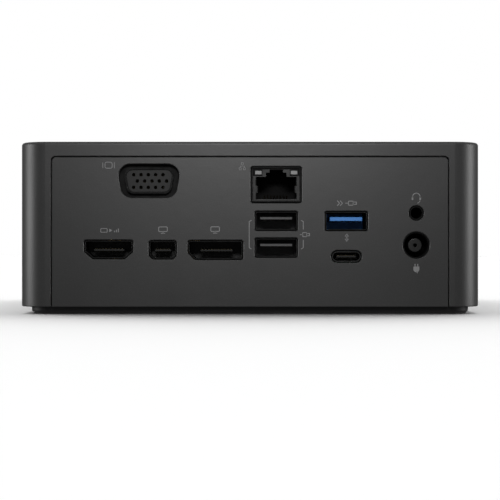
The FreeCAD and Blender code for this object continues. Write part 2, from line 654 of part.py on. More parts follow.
def video_pieces():
    """The three flat video sockets of the lower row."""
    ports = [
        ("av_port", av_outline(), AV_XZ, AV_DEPTH, AV_TONGUE, (9, 1.0, 0.45)),
        ("small_video", small_video_outline(), SMALL_VIDEO_XZ, SMALL_VIDEO_DEPTH,
         SMALL_VIDEO_TONGUE, (8, 0.6, 0.3)),
        ("full_video", full_video_outline(), FULL_VIDEO_XZ, FULL_VIDEO_DEPTH,
         FULL_VIDEO_TONGUE, (10, 1.0, 0.45)),
    ]
    made, contacts = {}, []
    for name, outline, (x, z), depth, tongue, (count, pitch, width) in ports:
        made[name + "_shell"] = [placed(port_shell(outline, depth, z - BOARD_TOP), x, z)]
        made[name + "_tongue"] = [placed(port_tongue(outline, depth, **tongue), x, z)]
        strips = port_contacts(depth, count, pitch, width, tongue["thickness"], tongue["offset"],
                               tongue["recess"])
        contacts += [placed(s, x, z) for s in strips]
    return made, contacts


def usb_pieces():
    """USB-A sockets on the rear and front, and the USB-C socket under the rear one."""
    shells, tongues, contacts = [], [], []
    spots = [(*REAR_USB_XZ, False)] + [(x, FRONT_PORT_Z, True) for x in FRONT_USB_X]
    for x, z, front in spots:
        shells.append(placed(port_shell(usb_a_outline(), USB_A_DEPTH, z - BOARD_TOP), x, z, front))
        tongue = port_tongue(usb_a_outline(), USB_A_DEPTH, **USB_A_TONGUE)
        riser_y = (USB_A_DEPTH, USB_A_DEPTH + 1.5)
        riser = block(span(0, USB_A_OUTER[0]), riser_y, (BOARD_TOP - z, USB_A_OUTER[1] / 2))
        joint = block(span(0, USB_A_OUTER[0] - 2), (USB_A_DEPTH - 0.3, USB_A_DEPTH + 0.1), span(0, 4.0))
        tongues.append(placed(fused([tongue, joint, riser]), x, z, front))
        strips = port_contacts(USB_A_DEPTH, 4, 2.3, 1.0, USB_A_TONGUE["thickness"], USB_A_TONGUE["offset"],
                               sides=(-1,))
        contacts += [placed(s, x, z, front) for s in strips]
    x, z = USB_C_XZ
    c_shell = placed(port_shell(usb_c_outline(), USB_C_DEPTH, z - BOARD_TOP, 0.25), x, z)
    c_tongue = placed(port_tongue(usb_c_outline(), USB_C_DEPTH, wall=0.25, **USB_C_TONGUE), x, z)
    strips = port_contacts(USB_C_DEPTH, 12, 0.5, 0.25, USB_C_TONGUE["thickness"])
    contacts += [placed(s, x, z) for s in strips]
    return {"usb_a_shells": shells, "usb_a_tongues": tongues,
            "usb_c_shell": [c_shell], "usb_c_tongue": [c_tongue]}, contacts


STACK_WIDTH = 16.2
STACK_TOP = BOARD_TOP + 30.6
STACK_FRONT = INNER_REAR + 2 * SNUG - 0.05
STACK_DEPTH = 21.0
STACK_USB_DEPTH = 15.0
LAN_CAVITY = (12.4, 7.4)
LAN_CAVITY_DEPTH = 13.0
LIGHT_PIPE = (2.0, 1.1)
LIGHT_PIPE_AT = (5.6, 3.75)  # from the network socket's centre
LATCH_STEPS = (6.4, 4.2)  # widths of the two steps over the cavity, for the plug's latch
FRAME_BAR = 0.8
FRAME_THICK = 0.25


def lan_frame(snout, cavity_top):
    """Folded steel frame in the network socket's mouth: side bars, sill, a lip by each light, springs."""
    y = (snout + 0.05, snout + 0.05 + FRAME_THICK)
    half = LAN_SNOUT[0] / 2 - SHELL_WALL - SNUG
    bottom = LAN_Z - LAN_SNOUT[1] / 2 + SHELL_WALL + SNUG
    step, notch = (w / 2 for w in LATCH_STEPS)
    light_side = LIGHT_PIPE_AT[0] - LIGHT_PIPE[0] / 2 - 0.3

    def bar(side, near, far, z):
        return block(sorted((STACK_X + side * near, STACK_X + side * far)), y, z)

    pieces = [block(span(STACK_X, 2 * half), y, (bottom, bottom + 0.5))]
    for side in (-1, 1):
        pieces.append(bar(side, half - FRAME_BAR, half, (bottom, cavity_top + 0.25)))
        pieces.append(bar(side, step, half, (cavity_top, cavity_top + 0.25)))
        pieces.append(bar(side, step, light_side, (cavity_top, cavity_top + 2.3)))
        pieces.append(bar(side, notch, light_side, (cavity_top + 1.3, cavity_top + 2.3)))
        path = [(half - 0.2, 0.2), (5.95, 0.2), (5.75, 2.4), (6.15, 4.2)]
        path = [(STACK_X + side * u, snout + v) for u, v in path]
        pieces.append(bent_strip(path, FRAME_THICK, 0.2, "xy", *span(LAN_Z - 1.5, 2.2)))
    return fused(pieces)


def stack_pieces():
    """Network socket over two USB-A sockets, all in one shield on the main board."""
    face, snout = STACK_FRONT, REAR + FACE_RECESS + 0.1
    back = face + STACK_DEPTH
    x0 = STACK_X
    can = block(span(x0, STACK_WIDTH), (face, back), (BOARD_TOP, STACK_TOP))
    inner = block(span(x0, STACK_WIDTH - 0.6), (face + 0.3, back - 0.3), (BOARD_TOP + 0.3, STACK_TOP - 0.3))
    lan_mouth = rect(x0, LAN_Z, *LAN_SNOUT, LAN_CORNER - PORT_GAP - SNUG)
    lan_inside = grown(lan_mouth, -SHELL_WALL)
    usb = [shifted(usb_a_outline(), x0, z) for z in STACK_USB_Z]
    usb_back = snout + STACK_USB_DEPTH

    tubes = [tube(lan_mouth, SHELL_WALL, "xz", snout, face + 0.2)]
    tubes += [tube(outline, SHELL_WALL, "xz", snout, usb_back) for outline in usb]
    shield = can.cut(inner)
    for outline in [lan_inside] + [grown(o, -SHELL_WALL) for o in usb]:
        shield = shield.cut(prism(outline, "xz", snout - 1, face + 0.3))
    shield = fused([shield] + tubes)

    housing = fused([inner, prism(lan_inside, "xz", snout + 0.35, face + 0.5)])
    cavity_z = LAN_Z - 1.3
    low, high = span(cavity_z, LAN_CAVITY[1])
    lan_back = snout + LAN_CAVITY_DEPTH
    room = (snout - 1, lan_back)
    housing = housing.cut(block(span(x0, LAN_CAVITY[0]), room, (low, high)))
    housing = housing.cut(block(span(x0, LATCH_STEPS[0]), room, (high - 0.1, high + 1.3)))
    housing = housing.cut(block(span(x0, LATCH_STEPS[1]), room, (high + 1.2, high + 2.2)))
    spring_room = block(span(x0, 14.0), (snout - 1, snout + 5), span(LAN_Z - 1.5, 2.6))
    housing = housing.cut(spring_room)
    for outline in usb:
        housing = housing.cut(prism(outline, "xz", snout, usb_back))

    pipes = []
    pipe_x, pipe_z = LIGHT_PIPE_AT[0], LAN_Z + LIGHT_PIPE_AT[1]
    for side in (-1, 1):
        bar = block(span(x0 + side * pipe_x, LIGHT_PIPE[0]), (snout + 0.3, back - 4),
                    span(pipe_z, LIGHT_PIPE[1]))
        pipes.append(bar)
        housing = housing.cut(bar)

    wires = []
    for i in range(8):
        x = x0 + (i - 3.5) * 1.02
        path = [(snout + 3.0, low + 0.3), (snout + 8.0, low + 0.3), (snout + 12.6, low + 1.9)]
        wires.append(bent_strip(path, 0.3, 1.5, "yz", *span(x, 0.45)))

    tongues, contacts = [], []
    for z in STACK_USB_Z:
        move = lambda s, z=z: s.translated(V(x0, snout, z))
        tongues.append(move(port_tongue(usb_a_outline(), STACK_USB_DEPTH, **STACK_TONGUE)))
        strips = port_contacts(STACK_USB_DEPTH, 4, 2.3, 1.0, STACK_TONGUE["thickness"],
                               STACK_TONGUE["offset"], sides=(-1,))
        contacts += [move(s) for s in strips]
    return {"stack_shield": [shield], "stack_housing": [housing], "lan_contacts": wires,
            "lan_frame": [lan_frame(snout, high)], "lan_light_pipes": pipes,
            "stack_usb_tongues": tongues}, contacts


JACK_NOSE_R = 2.9  # the shoulder behind the wall
JACK_TIP_R = AUDIO_HOLE_R - 0.2  # the part in the wall's hole
JACK_TIP_REACH = 0.3  # in front of the other port mouths
JACK_BORE_R = 1.8
JACK_BORE_DEPTH = 13.0


def jack_body(z, board_top):
    """3.5 mm jack: a block with a bore along the y axis and a tip that stands in the wall's hole."""
    start = INNER_REAR + SNUG - (REAR + FACE_RECESS)
    tip = rod(JACK_TIP_R, V(0, -JACK_TIP_REACH, 0), V(0, start + 1.3, 0))
    nose = rod(JACK_NOSE_R, V(0, start + BRACKET_THICK + SNUG, 0), V(0, start + 1.5, 0))
    body = block(span(0, 6.2), (start + 1.2, start + JACK_BORE_DEPTH + 0.5), (board_top - z, 2.7))
    return fused([tip, nose, body]).cut(rod(JACK_BORE_R, V(0, -1, 0), V(0, start + JACK_BORE_DEPTH, 0)))


def power_and_audio():
    x, z = DC_XZ
    start = INNER_REAR + SNUG - (REAR + FACE_RECESS)
    collar = rod(DC_HOLE_R - 0.15, V(0, 0, 0), V(0, start + 2, 0))
    body = block(span(0, 10.2), (start + BRACKET_THICK + SNUG, start + 11.5), (BOARD_TOP - z, 5.1))
    dc_body = fused([collar, body]).cut(rod(DC_BORE_R, V(0, -1, 0), V(0, start + 9.0, 0)))
    pin_root = rod(1.6, V(0, start + 8.5, 0), V(0, start + 12, 0))
    dc_body = dc_body.cut(pin_root)
    tip = DC_POST_RECESS
    dc_post = fused([rod(DC_POST_R, V(0, tip, 0), V(0, start + 9.0, 0)),
                     rod(1.6, V(0, start + 8.5, 0), V(0, start + 11.5, 0))])
    dc_post = dc_post.makeFillet(0.4, edges_at(dc_post, "y", tip))
    dc_post = dc_post.cut(rod(0.6, V(0, 0, 0), V(0, start + 7, 0)))
    audio = placed(jack_body(AUDIO_XZ[1], AUDIO_BOARD_TOP), *AUDIO_XZ)
    headset = placed(jack_body(FRONT_PORT_Z, BOARD_TOP), HEADSET_X, FRONT_PORT_Z, front=True)
    return {"dc_jack_body": [placed(dc_body, x, z)], "dc_jack_post": [placed(dc_post, x, z)],
            "audio_jacks": [audio, headset]}


# ================================================================ boards and what is on them
DSUB_BOARD_TOP = DSUB_XZ[1] - 6.25
DSUB_BOARD_Y = (INNER_REAR + 1.7, INNER_REAR + 25)
DSUB_BOARD_X = span(DSUB_XZ[0], 33.0)
DSUB_POSTS = [(DSUB_XZ[0] - 12.5, INNER_REAR + 20.5), (DSUB_XZ[0] + 12.5, INNER_REAR + 20.5)]
AUDIO_BOARD_TOP = AUDIO_XZ[1] - JACK_NOSE_R - SNUG
AUDIO_BOARD_Y = (INNER_REAR + 1.7, INNER_REAR + 20)
AUDIO_BOARD_X = (AUDIO_XZ[0] - 8, AUDIO_XZ[0] + 4)
AUDIO_POST = (AUDIO_XZ[0] - 5.2, INNER_REAR + 17)
SOCKET_HEIGHT = 2.5
UNDER_SOCKET = 1.6
RIBBON_THICK = 0.4


def fan_screw_xy():
    x, y = FAN_XY
    near, far = FAN_R - 4, FAN_R + 3.5
    return [(x + FAN_R - 3, y - near), (x + FAN_R - 3, y + near), (x - 20, y - far), (x - 20, y + far)]


def cold_plate_screw_xy():
    x, y = COOLED_CHIP_XY
    reach = COLD_PLATE[0] / 2 - 2.2
    return [(x + a * reach, y + b * reach) for a in (-1, 1) for b in (-1, 1)]


def main_board():
    outline = rect(0, 0, WIDTH - 2 * BOARD_SIDE_MARGIN, DEPTH - 2 * BOARD_END_MARGIN, 3.0)
    z = (BOARD_TOP - BOARD_THICK, BOARD_TOP)
    board = prism(outline, "xy", *z)
    holes = [post(CASE_POST_R + 0.6, xy, (z[0] - 1, z[1] + 1)) for xy in case_posts()]
    holes += [post(BOARD_SCREW_R + 0.25, xy, (z[0] - 1, z[1] + 1)) for xy in BOARD_SCREW_XY]
    return board.cut(Part.Compound(holes))


def upper_boards():
    dsub = block(DSUB_BOARD_X, DSUB_BOARD_Y, (DSUB_BOARD_TOP - BOARD_THICK, DSUB_BOARD_TOP))
    for xy in DSUB_POSTS:
        dsub = dsub.cut(post(BOARD_SCREW_R + 0.2, xy, (0, HEIGHT)))
    audio = block(AUDIO_BOARD_X, AUDIO_BOARD_Y, (AUDIO_BOARD_TOP - SMALL_BOARD_THICK, AUDIO_BOARD_TOP))
    audio = audio.cut(post(BOARD_SCREW_R + 0.2, AUDIO_POST, (0, HEIGHT)))
    return {"dsub_board": [dsub], "audio_board": [audio]}


def standoffs():
    """Hexagonal spacers that carry the small boards and the fan on the main board."""
    tall = [(xy, DSUB_BOARD_TOP - BOARD_THICK) for xy in DSUB_POSTS]
    tall.append((AUDIO_POST, AUDIO_BOARD_TOP - SMALL_BOARD_THICK))
    tall += [(xy, FAN_Z[0]) for xy in fan_screw_xy()]
    return [hexagon(4.4, xy, (BOARD_TOP, top)).cut(post(BOARD_SCREW_R, xy, (top - 5, top + 1)))
            for xy, top in tall]


def board_screws():
    """Every small screw of the same kind: main board, small boards, rear panel and button board."""
    tab_top = BASE_FLOOR[1] + 0.2 + PANEL_TAB[2] + BRACKET_THICK
    seats = [(xy, BOARD_TOP, 6.0, False) for xy in BOARD_SCREW_XY]
    seats += [(xy, DSUB_BOARD_TOP, 4.5, False) for xy in DSUB_POSTS]
    seats += [(AUDIO_POST, AUDIO_BOARD_TOP, 4.5, False)]
    seats += [(xy, tab_top, tab_top - FOOT_TOP - 0.6, False) for xy in panel_screw_xy()]
    seats += [(xy, CEILING - BUTTON_BOARD_DROP, 5.0, True) for xy in button_posts()]
    return [screw(xy, z, length, BOARD_SCREW_R, 2.1, 1.5, up) for xy, z, length, up in seats]


def board_parts():
    z = BOARD_TOP

    def chip(x, y, size, height):
        body = block(span(x, size[0]), span(y, size[1]), (z, z + height))
        return body.makeChamfer(0.2, edges_at(body, "z", z + height))

    cooled, height = COOLED_CHIP
    chips = [chip(*COOLED_CHIP_XY, (cooled, cooled), height)]
    chips += [chip(x, y, size, 1.1) for x, y, size in (
        (-10, -38, (9, 9)), (6, -34, (7, 7)), (-22, 5, (12, 12)), (5, 20, (10, 10)), (-30, 55, (8, 5)),
        (52, 22, (6, 6)), (30, 5, (5, 4)), (-12, 50, (7, 7)))]
    cans = []
    for x, y in ((48, -30), (57, -30), (48, -20), (57, -20), (30, 46), (20, 46)):
        can = post(3.15, (x, y), (z, z + 7))
        cans.append(can.makeFillet(0.5, edges_at(can, "z", z + 7)))
    coils = []
    for x, y in ((50, -7), (60, -7), (50, 4), (60, 4)):
        coil = prism(rect(x, y, 8, 8, 1.2), "xy", z, z + 4)
        coils.append(coil.makeFillet(0.6, edges_at(coil, "z", z + 4)))
    return {"board_chips": chips, "capacitors": cans, "power_coils": coils}


BUTTON_SOCKET_Y = BUTTON_XY[1] - 6.5
FAN_SOCKET_X = FAN_XY[0] + 44


def cable_sockets():
    z = (BOARD_TOP, BOARD_TOP + SOCKET_HEIGHT)
    bottom = CEILING - BUTTON_BOARD_DROP
    dsub_under = DSUB_BOARD_TOP - BOARD_THICK
    audio_under = AUDIO_BOARD_TOP - SMALL_BOARD_THICK
    dsub_y, audio_y = DSUB_POSTS[0][1], AUDIO_POST[1] + 0.5
    return [
        block(span(BUTTON_XY[0], 4.0), span(BUTTON_SOCKET_Y, 8.0), z),
        block(span(BUTTON_XY[0], 4.0), span(BUTTON_SOCKET_Y, 8.0), (bottom - UNDER_SOCKET, bottom)),
        block(span(DSUB_XZ[0], 12.0), span(dsub_y, 4.0), z),
        block(span(DSUB_XZ[0], 12.0), span(dsub_y, 4.0), (dsub_under - UNDER_SOCKET, dsub_under)),
        block(span(AUDIO_XZ[0] + 1, 6.0), span(audio_y, 4.0), z),
        block(span(AUDIO_XZ[0] + 1, 6.0), span(audio_y, 4.0), (audio_under - UNDER_SOCKET, audio_under)),
        block(span(FAN_SOCKET_X, 4.0), span(FAN_XY[1], 6.0), z),
    ]


def slack_path(at, top, bottom, sway):
    """Points of a ribbon that drops from one socket to another and bows out once on its way."""
    middle, third = (top + bottom) / 2, (top - bottom) / 5
    return [(at, top), (at, middle + third), (at + sway, middle), (at, middle - third), (at, bottom)]


def ribbons():
    low = BOARD_TOP + SOCKET_HEIGHT
    button_top = CEILING - BUTTON_BOARD_DROP - UNDER_SOCKET
    button = bent_strip(slack_path(BUTTON_XY[0], button_top, low, 5.0), RIBBON_THICK, 2.0, "xz",
                        *span(BUTTON_SOCKET_Y, 6.0))
    dsub = bent_strip(slack_path(DSUB_POSTS[0][1], DSUB_BOARD_TOP - BOARD_THICK - UNDER_SOCKET, low, 3.0),
                      RIBBON_THICK, 1.5, "yz", *span(DSUB_XZ[0], 9.0))
    audio_top = AUDIO_BOARD_TOP - SMALL_BOARD_THICK - UNDER_SOCKET
    audio = bent_strip(slack_path(AUDIO_POST[1] + 0.5, audio_top, low, 1.5), RIBBON_THICK, 0.7, "yz",
                       *span(AUDIO_XZ[0] + 1, 4.0))
    exit_x, exit_z = FAN_XY[0] + FAN_R, FAN_Z[0] + 2.5
    fan = bent_strip([(exit_x, exit_z), (FAN_SOCKET_X, exit_z), (FAN_SOCKET_X, low)], 1.0, 3.5, "xz",
                     *span(FAN_XY[1], 4.0))
    return {"ribbon_cables": [button, dsub, audio], "fan_cable": [fan]}


# ================================================================ power button
def button_pieces():
    x, y = BUTTON_XY
    ring_r = BUTTON_R + BUTTON_GAP
    ring = fused([tube_post(ring_r + LIGHT_RING_WALL - 0.02, ring_r, BUTTON_XY, (CEILING - 0.2, HEIGHT)),
                  tube_post(ring_r + LIGHT_RING_WALL + 0.6, ring_r, BUTTON_XY, (CEILING - 1.3, CEILING))])
    flange_top = CEILING - 1.3 - SNUG
    board_z = (CEILING - BUTTON_BOARD_DROP, CEILING - BUTTON_BOARD_DROP + SMALL_BOARD_THICK)
    switch_top = board_z[1] + 3.3
    plunger_top = switch_top + BUTTON_TRAVEL + 0.5
    cap = post(BUTTON_R, BUTTON_XY, (flange_top - 1.0, HEIGHT))
    cap = cap.makeFillet(0.5, edges_at(cap, "z", HEIGHT))
    dish_r = 60.0
    dish = Part.makeSphere(dish_r, V(x, y, HEIGHT + dish_r - 0.22))
    flange = post(BUTTON_R + 0.9, BUTTON_XY, (flange_top - 1.0, flange_top))
    stem = post(2.0, BUTTON_XY, (plunger_top, flange_top - 0.5))
    cap = fused([cap.cut(dish), flange, stem])

    board = block(span(x, 2 * (BUTTON_POST_REACH + BUTTON_POST_R + 0.4)), span(y, 18), board_z)
    for xy in button_posts():
        board = board.cut(post(BOARD_SCREW_R + 0.2, xy, (board_z[0] - 1, board_z[1] + 1)))
    well = post(1.75, BUTTON_XY, (switch_top - 2.0, switch_top + 1))
    switch = block(span(x, 6.2), span(y, 6.2), (board_z[1], switch_top)).cut(well)
    plunger = post(1.7, BUTTON_XY, (switch_top - 1.2, plunger_top))
    lamp_r = ring_r + LIGHT_RING_WALL / 2
    lamp_z = (board_z[1], board_z[1] + 0.6)
    lamps = [block(span(x, 1.6), span(y + side * lamp_r, 0.8), lamp_z) for side in (-1, 1)]
    return {"power_button": [cap], "button_light_ring": [ring], "button_board": [board],
            "tact_switch": [switch], "switch_plunger": [plunger]}, lamps


# ================================================================ fan and cooler
def fan_footprint(inset, z):
    """The scroll and its outlet duct, open towards -X."""
    x, y = FAN_XY
    duct = block((x - FAN_OUTLET, x), span(y, 2 * (FAN_R - inset)), z)
    return fused([post(FAN_R - inset, FAN_XY, z), duct])


def blade():
    """One curved blade, from inside the hub's wall to the rim."""
    def spot(radius, degrees, turn):
        a = math.radians(degrees + turn)
        return V(FAN_XY[0] + radius * math.cos(a), FAN_XY[1] + radius * math.sin(a), FAN_Z[0] + 2.0)

    thick = 2.4  # degrees
    front = [spot(HUB_R - 0.5, 0, 0), spot(0.72 * IMPELLER_R, -7, 0), spot(IMPELLER_R, -22, 0)]
    rear = [spot(HUB_R - 0.5, 0, thick * 1.8), spot(0.72 * IMPELLER_R, -7, thick),
            spot(IMPELLER_R, -22, thick * 0.8)]
    edges = [Part.Arc(*front).toShape(), Part.LineSegment(front[2], rear[2]).toShape(),
             Part.Arc(*reversed(rear)).toShape(), Part.LineSegment(rear[0], front[0]).toShape()]
    return Part.Face(Part.Wire(edges)).extrude(V(0, 0, FAN_Z[1] - FAN_Z[0] - 4.2))


def fan_pieces():
    x, y = FAN_XY
    low, high = FAN_Z
    tube_top = high - 4.2
    plate_z = (low, low + FAN_PLATE)
    floor = [fan_footprint(0, plate_z), block((x, x + FAN_R), span(y, 2 * FAN_R), plate_z)]
    for ear_x, ear_y in fan_screw_xy()[2:]:
        outwards = math.copysign(1, ear_y - y)
        ear = sorted((ear_y + 3 * outwards, y + (FAN_R - 1) * outwards))
        floor.append(block(span(ear_x, 7), ear, plate_z))
    floor = fused(floor)
    walls = fan_footprint(0, (low, high - FAN_PLATE)).cut(fan_footprint(FAN_WALL, (low, high)))
    outlet_x = (x - FAN_OUTLET - 1, x - FAN_OUTLET + FAN_WALL + 1)
    walls = walls.cut(block(outlet_x, span(y, 2 * (FAN_R - FAN_WALL)), (low + FAN_PLATE, high)))
    housing = fused([floor, walls, post(BEARING_R + 0.9, FAN_XY, (low, tube_top))])
    housing = housing.cut(post(BEARING_R, FAN_XY, (low + 0.6, tube_top + 1)))
    for xy in fan_screw_xy():
        housing = housing.cut(post(BOARD_SCREW_R, xy, (low - 1, low + FAN_PLATE + 1)))
    cover = fan_footprint(0, (high - FAN_PLATE, high)).cut(post(0.72 * IMPELLER_R, FAN_XY, (low, high + 1)))

    bearing = tube_post(BEARING_R, SHAFT_R + BEARING_GAP, FAN_XY, (low + 0.9, tube_top))
    shaft = post(SHAFT_R, FAN_XY, (low + 1.0, high - 2.2))
    hub_top = high - 1.8
    hub = post(HUB_R, FAN_XY, (low + 1.6, hub_top)).cut(post(HUB_R - 1.0, FAN_XY, (low, hub_top - 1.2)))
    hub = fused([hub, post(1.9, FAN_XY, (tube_top + 0.4, hub_top - 0.5))])
    rim = [e for e in edges_at(hub, "z", hub_top) if e.Length > 2 * math.pi * (HUB_R - 0.1)]
    hub = hub.makeFillet(0.8, rim)
    blades = []
    for i in range(BLADES):
        one = blade()
        one.rotate(V(x, y, 0), V(0, 0, 1), 360 * i / BLADES)
        blades.append(one)
    ring = tube_post(IMPELLER_R, IMPELLER_R - 3, FAN_XY, (low + 1.6, low + 2.3))
    impeller = fused([hub, ring] + blades).cut(shaft)
    magnet = tube_post(HUB_R - 1.0, HUB_R - 2.2, FAN_XY, (low + 2.0, tube_top))
    arms = [tube_post(BEARING_R + 2.4, BEARING_R + 0.9, FAN_XY, (low + 2.4, tube_top - 1))]
    shoe = tube_post(HUB_R - 2.7, HUB_R - 3.7, FAN_XY, (low + 2.4, tube_top - 1))
    for i in range(6):
        arm = block((x, x + HUB_R - 3.2), span(y, 1.6), (low + 2.8, tube_top - 1.4))
        head = block((x + HUB_R - 5, x + HUB_R), span(y, 6.0), (low + 2.4, tube_top - 1)).common(shoe)
        for piece in (arm.cut(post(BEARING_R + 1.5, FAN_XY, (low, high))), head):
            piece.rotate(V(x, y, 0), V(0, 0, 1), 60 * i)
            arms.append(piece)
    screws = [screw(xy, low + FAN_PLATE, 4.5, BOARD_SCREW_R, 1.9, 1.2) for xy in fan_screw_xy()]
    return {"fan_housing": [housing], "fan_cover": [cover], "fan_bearing": [bearing], "fan_shaft": [shaft],
            "fan_impeller": [impeller], "rotor_magnet": [magnet], "fan_stator": [fused(arms)],
            "cooler_screws": screws}


def cooler_pieces():
    chip_top = BOARD_TOP + COOLED_CHIP[1]
    x, y = COOLED_CHIP_XY
    side, thick = COLD_PLATE
    pad = block(span(x, COOLED_CHIP[0] - 1), span(y, COOLED_CHIP[0] - 1), (chip_top, chip_top + THERMAL_PAD))
    plate_z = (chip_top + THERMAL_PAD, chip_top + THERMAL_PAD + thick)
    plate = prism(rect(x, y, side, side, 1.5), "xy", *plate_z)
    screws = []
    for xy in cold_plate_screw_xy():
        plate = plate.cut(post(BOARD_SCREW_R + 0.2, xy, (0, HEIGHT)))
        screws.append(screw(xy, plate_z[1], plate_z[1] - BOARD_TOP, BOARD_SCREW_R, 1.9, 1.2))
    pipe_z = (plate_z[1], plate_z[1] + PIPE_THICK)
    fins_x = (INNER_LEFT + 4.5, FAN_XY[0] - FAN_OUTLET - 2)
    fins_y = span(FAN_XY[1], 2 * FAN_R - 4)
    run_x = sum(fins_x) / 2
    run = [(x + side / 2 - 2, y), (run_x, y), (run_x, fins_y[1])]
    pipe = bent_strip(run, PIPE_WIDTH, 14.0, "xy", *pipe_z)
    rims = edges_at(pipe, "z", pipe_z[0]) + edges_at(pipe, "z", pipe_z[1])
    pipe = pipe.makeFillet(PIPE_THICK * 0.45, rims)
    base_top = pipe_z[1] + 1.0
    base = block(fins_x, fins_y, (pipe_z[1], base_top))
    count = int((fins_y[1] - fins_y[0]) / FIN_PITCH)
    fin_z = (base_top - 0.1, FAN_Z[1])
    fins = [block(fins_x, span(FAN_XY[1] + (i - (count - 1) / 2) * FIN_PITCH, FIN_THICK), fin_z)
            for i in range(count)]
    return {"thermal_pad": [pad], "cold_plate": [plate], "heat_pipe": [pipe],
            "heat_sink_fins": [fused([base] + fins)]}, screws


# ================================================================ the whole dock
def all_pieces():
    pieces = {
        "top_cover": [top_cover()],
        "rear_panel": [rear_panel()],
        "io_bracket": [io_bracket()],
        "base_plate": [base_plate()],
        "foot_ring": [foot_ring()],
        "side_grilles": [side_grille(left=True), side_grille(left=False)],
        "case_screws": case_screws(),
        "host_cable_gland": [host_cable_gland()],
        "lock_plate": [lock_plate()],
        "main_board": [main_board()],
        "standoffs": standoffs(),
        "board_screws": board_screws(),
        "cable_sockets": cable_sockets(),
    }
    stack, stack_contacts = stack_pieces()
    video, video_contacts = video_pieces()
    usb, usb_contacts = usb_pieces()
    cooler, cold_plate_screws = cooler_pieces()
    button, button_lamps = button_pieces()
    groups = (upper_boards(), board_parts(), ribbons(), button, fan_pieces(), cooler,
              dsub_pieces(), video, usb, stack, power_and_audio())
    for group in groups:
        pieces.update(group)
    pieces["tongue_contacts"] = video_contacts + usb_contacts + stack_contacts
    pieces["cooler_screws"] += cold_plate_screws
    pieces["board_chips"] += button_lamps
    return pieces


def main():
    os.makedirs("parts", exist_ok=True)
    for name, shapes in all_pieces().items():
        solids = [solid for shape in shapes for solid in shape.Solids]
        whole = Part.Compound(solids) if len(solids) > 1 else solids[0]
        whole.exportStep(os.path.join("parts", name + ".step"))
        print(f"{name}: {len(solids)} solid(s), valid {whole.isValid()}, {whole.Volume:.0f} mm3")


if __name__ == "__main__":
    main()
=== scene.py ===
"""Looks of the desktop laptop dock: camera, floor, light, surface finishes and printed marks."""

import json
import math

import bmesh
import bpy
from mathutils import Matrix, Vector


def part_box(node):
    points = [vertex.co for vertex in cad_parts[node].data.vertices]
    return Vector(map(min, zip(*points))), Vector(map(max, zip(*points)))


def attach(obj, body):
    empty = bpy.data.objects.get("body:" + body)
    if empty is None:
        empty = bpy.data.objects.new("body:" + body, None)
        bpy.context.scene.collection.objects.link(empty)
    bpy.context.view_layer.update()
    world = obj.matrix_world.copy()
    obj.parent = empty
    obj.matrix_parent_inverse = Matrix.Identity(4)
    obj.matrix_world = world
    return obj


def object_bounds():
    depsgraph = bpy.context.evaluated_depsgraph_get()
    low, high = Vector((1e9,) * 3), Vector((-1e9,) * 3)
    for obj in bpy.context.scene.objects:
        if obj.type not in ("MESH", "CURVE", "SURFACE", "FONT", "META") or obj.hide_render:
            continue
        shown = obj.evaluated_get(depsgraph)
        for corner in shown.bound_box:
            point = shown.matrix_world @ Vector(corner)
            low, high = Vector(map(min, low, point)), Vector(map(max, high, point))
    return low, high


MM = 0.001

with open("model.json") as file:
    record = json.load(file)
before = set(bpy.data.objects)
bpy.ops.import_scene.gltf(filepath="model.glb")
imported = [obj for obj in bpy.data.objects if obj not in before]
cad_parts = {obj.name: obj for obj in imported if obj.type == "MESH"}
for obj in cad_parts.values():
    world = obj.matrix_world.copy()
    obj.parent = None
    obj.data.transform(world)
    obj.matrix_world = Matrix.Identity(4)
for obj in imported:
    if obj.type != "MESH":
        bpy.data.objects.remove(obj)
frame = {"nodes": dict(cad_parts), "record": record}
cad_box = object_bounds()
REAR_Y = cad_box[0].y  # the case's rear, which the camera looks at


# ================================================================ camera, floor and light
CAMERA_DISTANCE = 0.450  # from the rear face
CAMERA_HEIGHT = 0.0201
VIEW_WIDTH = 0.15625  # what the picture spans at the rear face
SENSOR = 36.0  # millimetres


def make_camera():
    """A level camera straight in front of the port panel."""
    data = bpy.data.cameras.new("camera")
    data.sensor_width = SENSOR
    data.lens = SENSOR * CAMERA_DISTANCE / VIEW_WIDTH
    camera = bpy.data.objects.new("camera", data)
    camera.location = (0, REAR_Y - CAMERA_DISTANCE, CAMERA_HEIGHT)
    camera.rotation_euler = (math.radians(90), 0, 0)
    bpy.context.scene.collection.objects.link(camera)
    bpy.context.scene.camera = camera


LAMP_SPREAD = 60.0  # degrees


def area_light(name, place, towards, size, power):
    """A lamp with a beam of LAMP_SPREAD, at a place and turned towards another."""
    data = bpy.data.lights.new(name, "AREA")
    data.shape = "RECTANGLE"
    data.size, data.size_y = size
    data.energy = power
    data.spread = math.radians(LAMP_SPREAD)
    light = bpy.data.objects.new(name, data)
    light.location = place
    light.rotation_euler = (Vector(towards) - Vector(place)).to_track_quat("-Z", "Y").to_euler()
    bpy.context.scene.collection.objects.link(light)
    return light


SKY_GLOW = 0.2  # what the studio's surround sheds on the object
BACKDROP_GLOW = 1.0  # what the camera sees of it
WHITE = (1, 1, 1, 1)


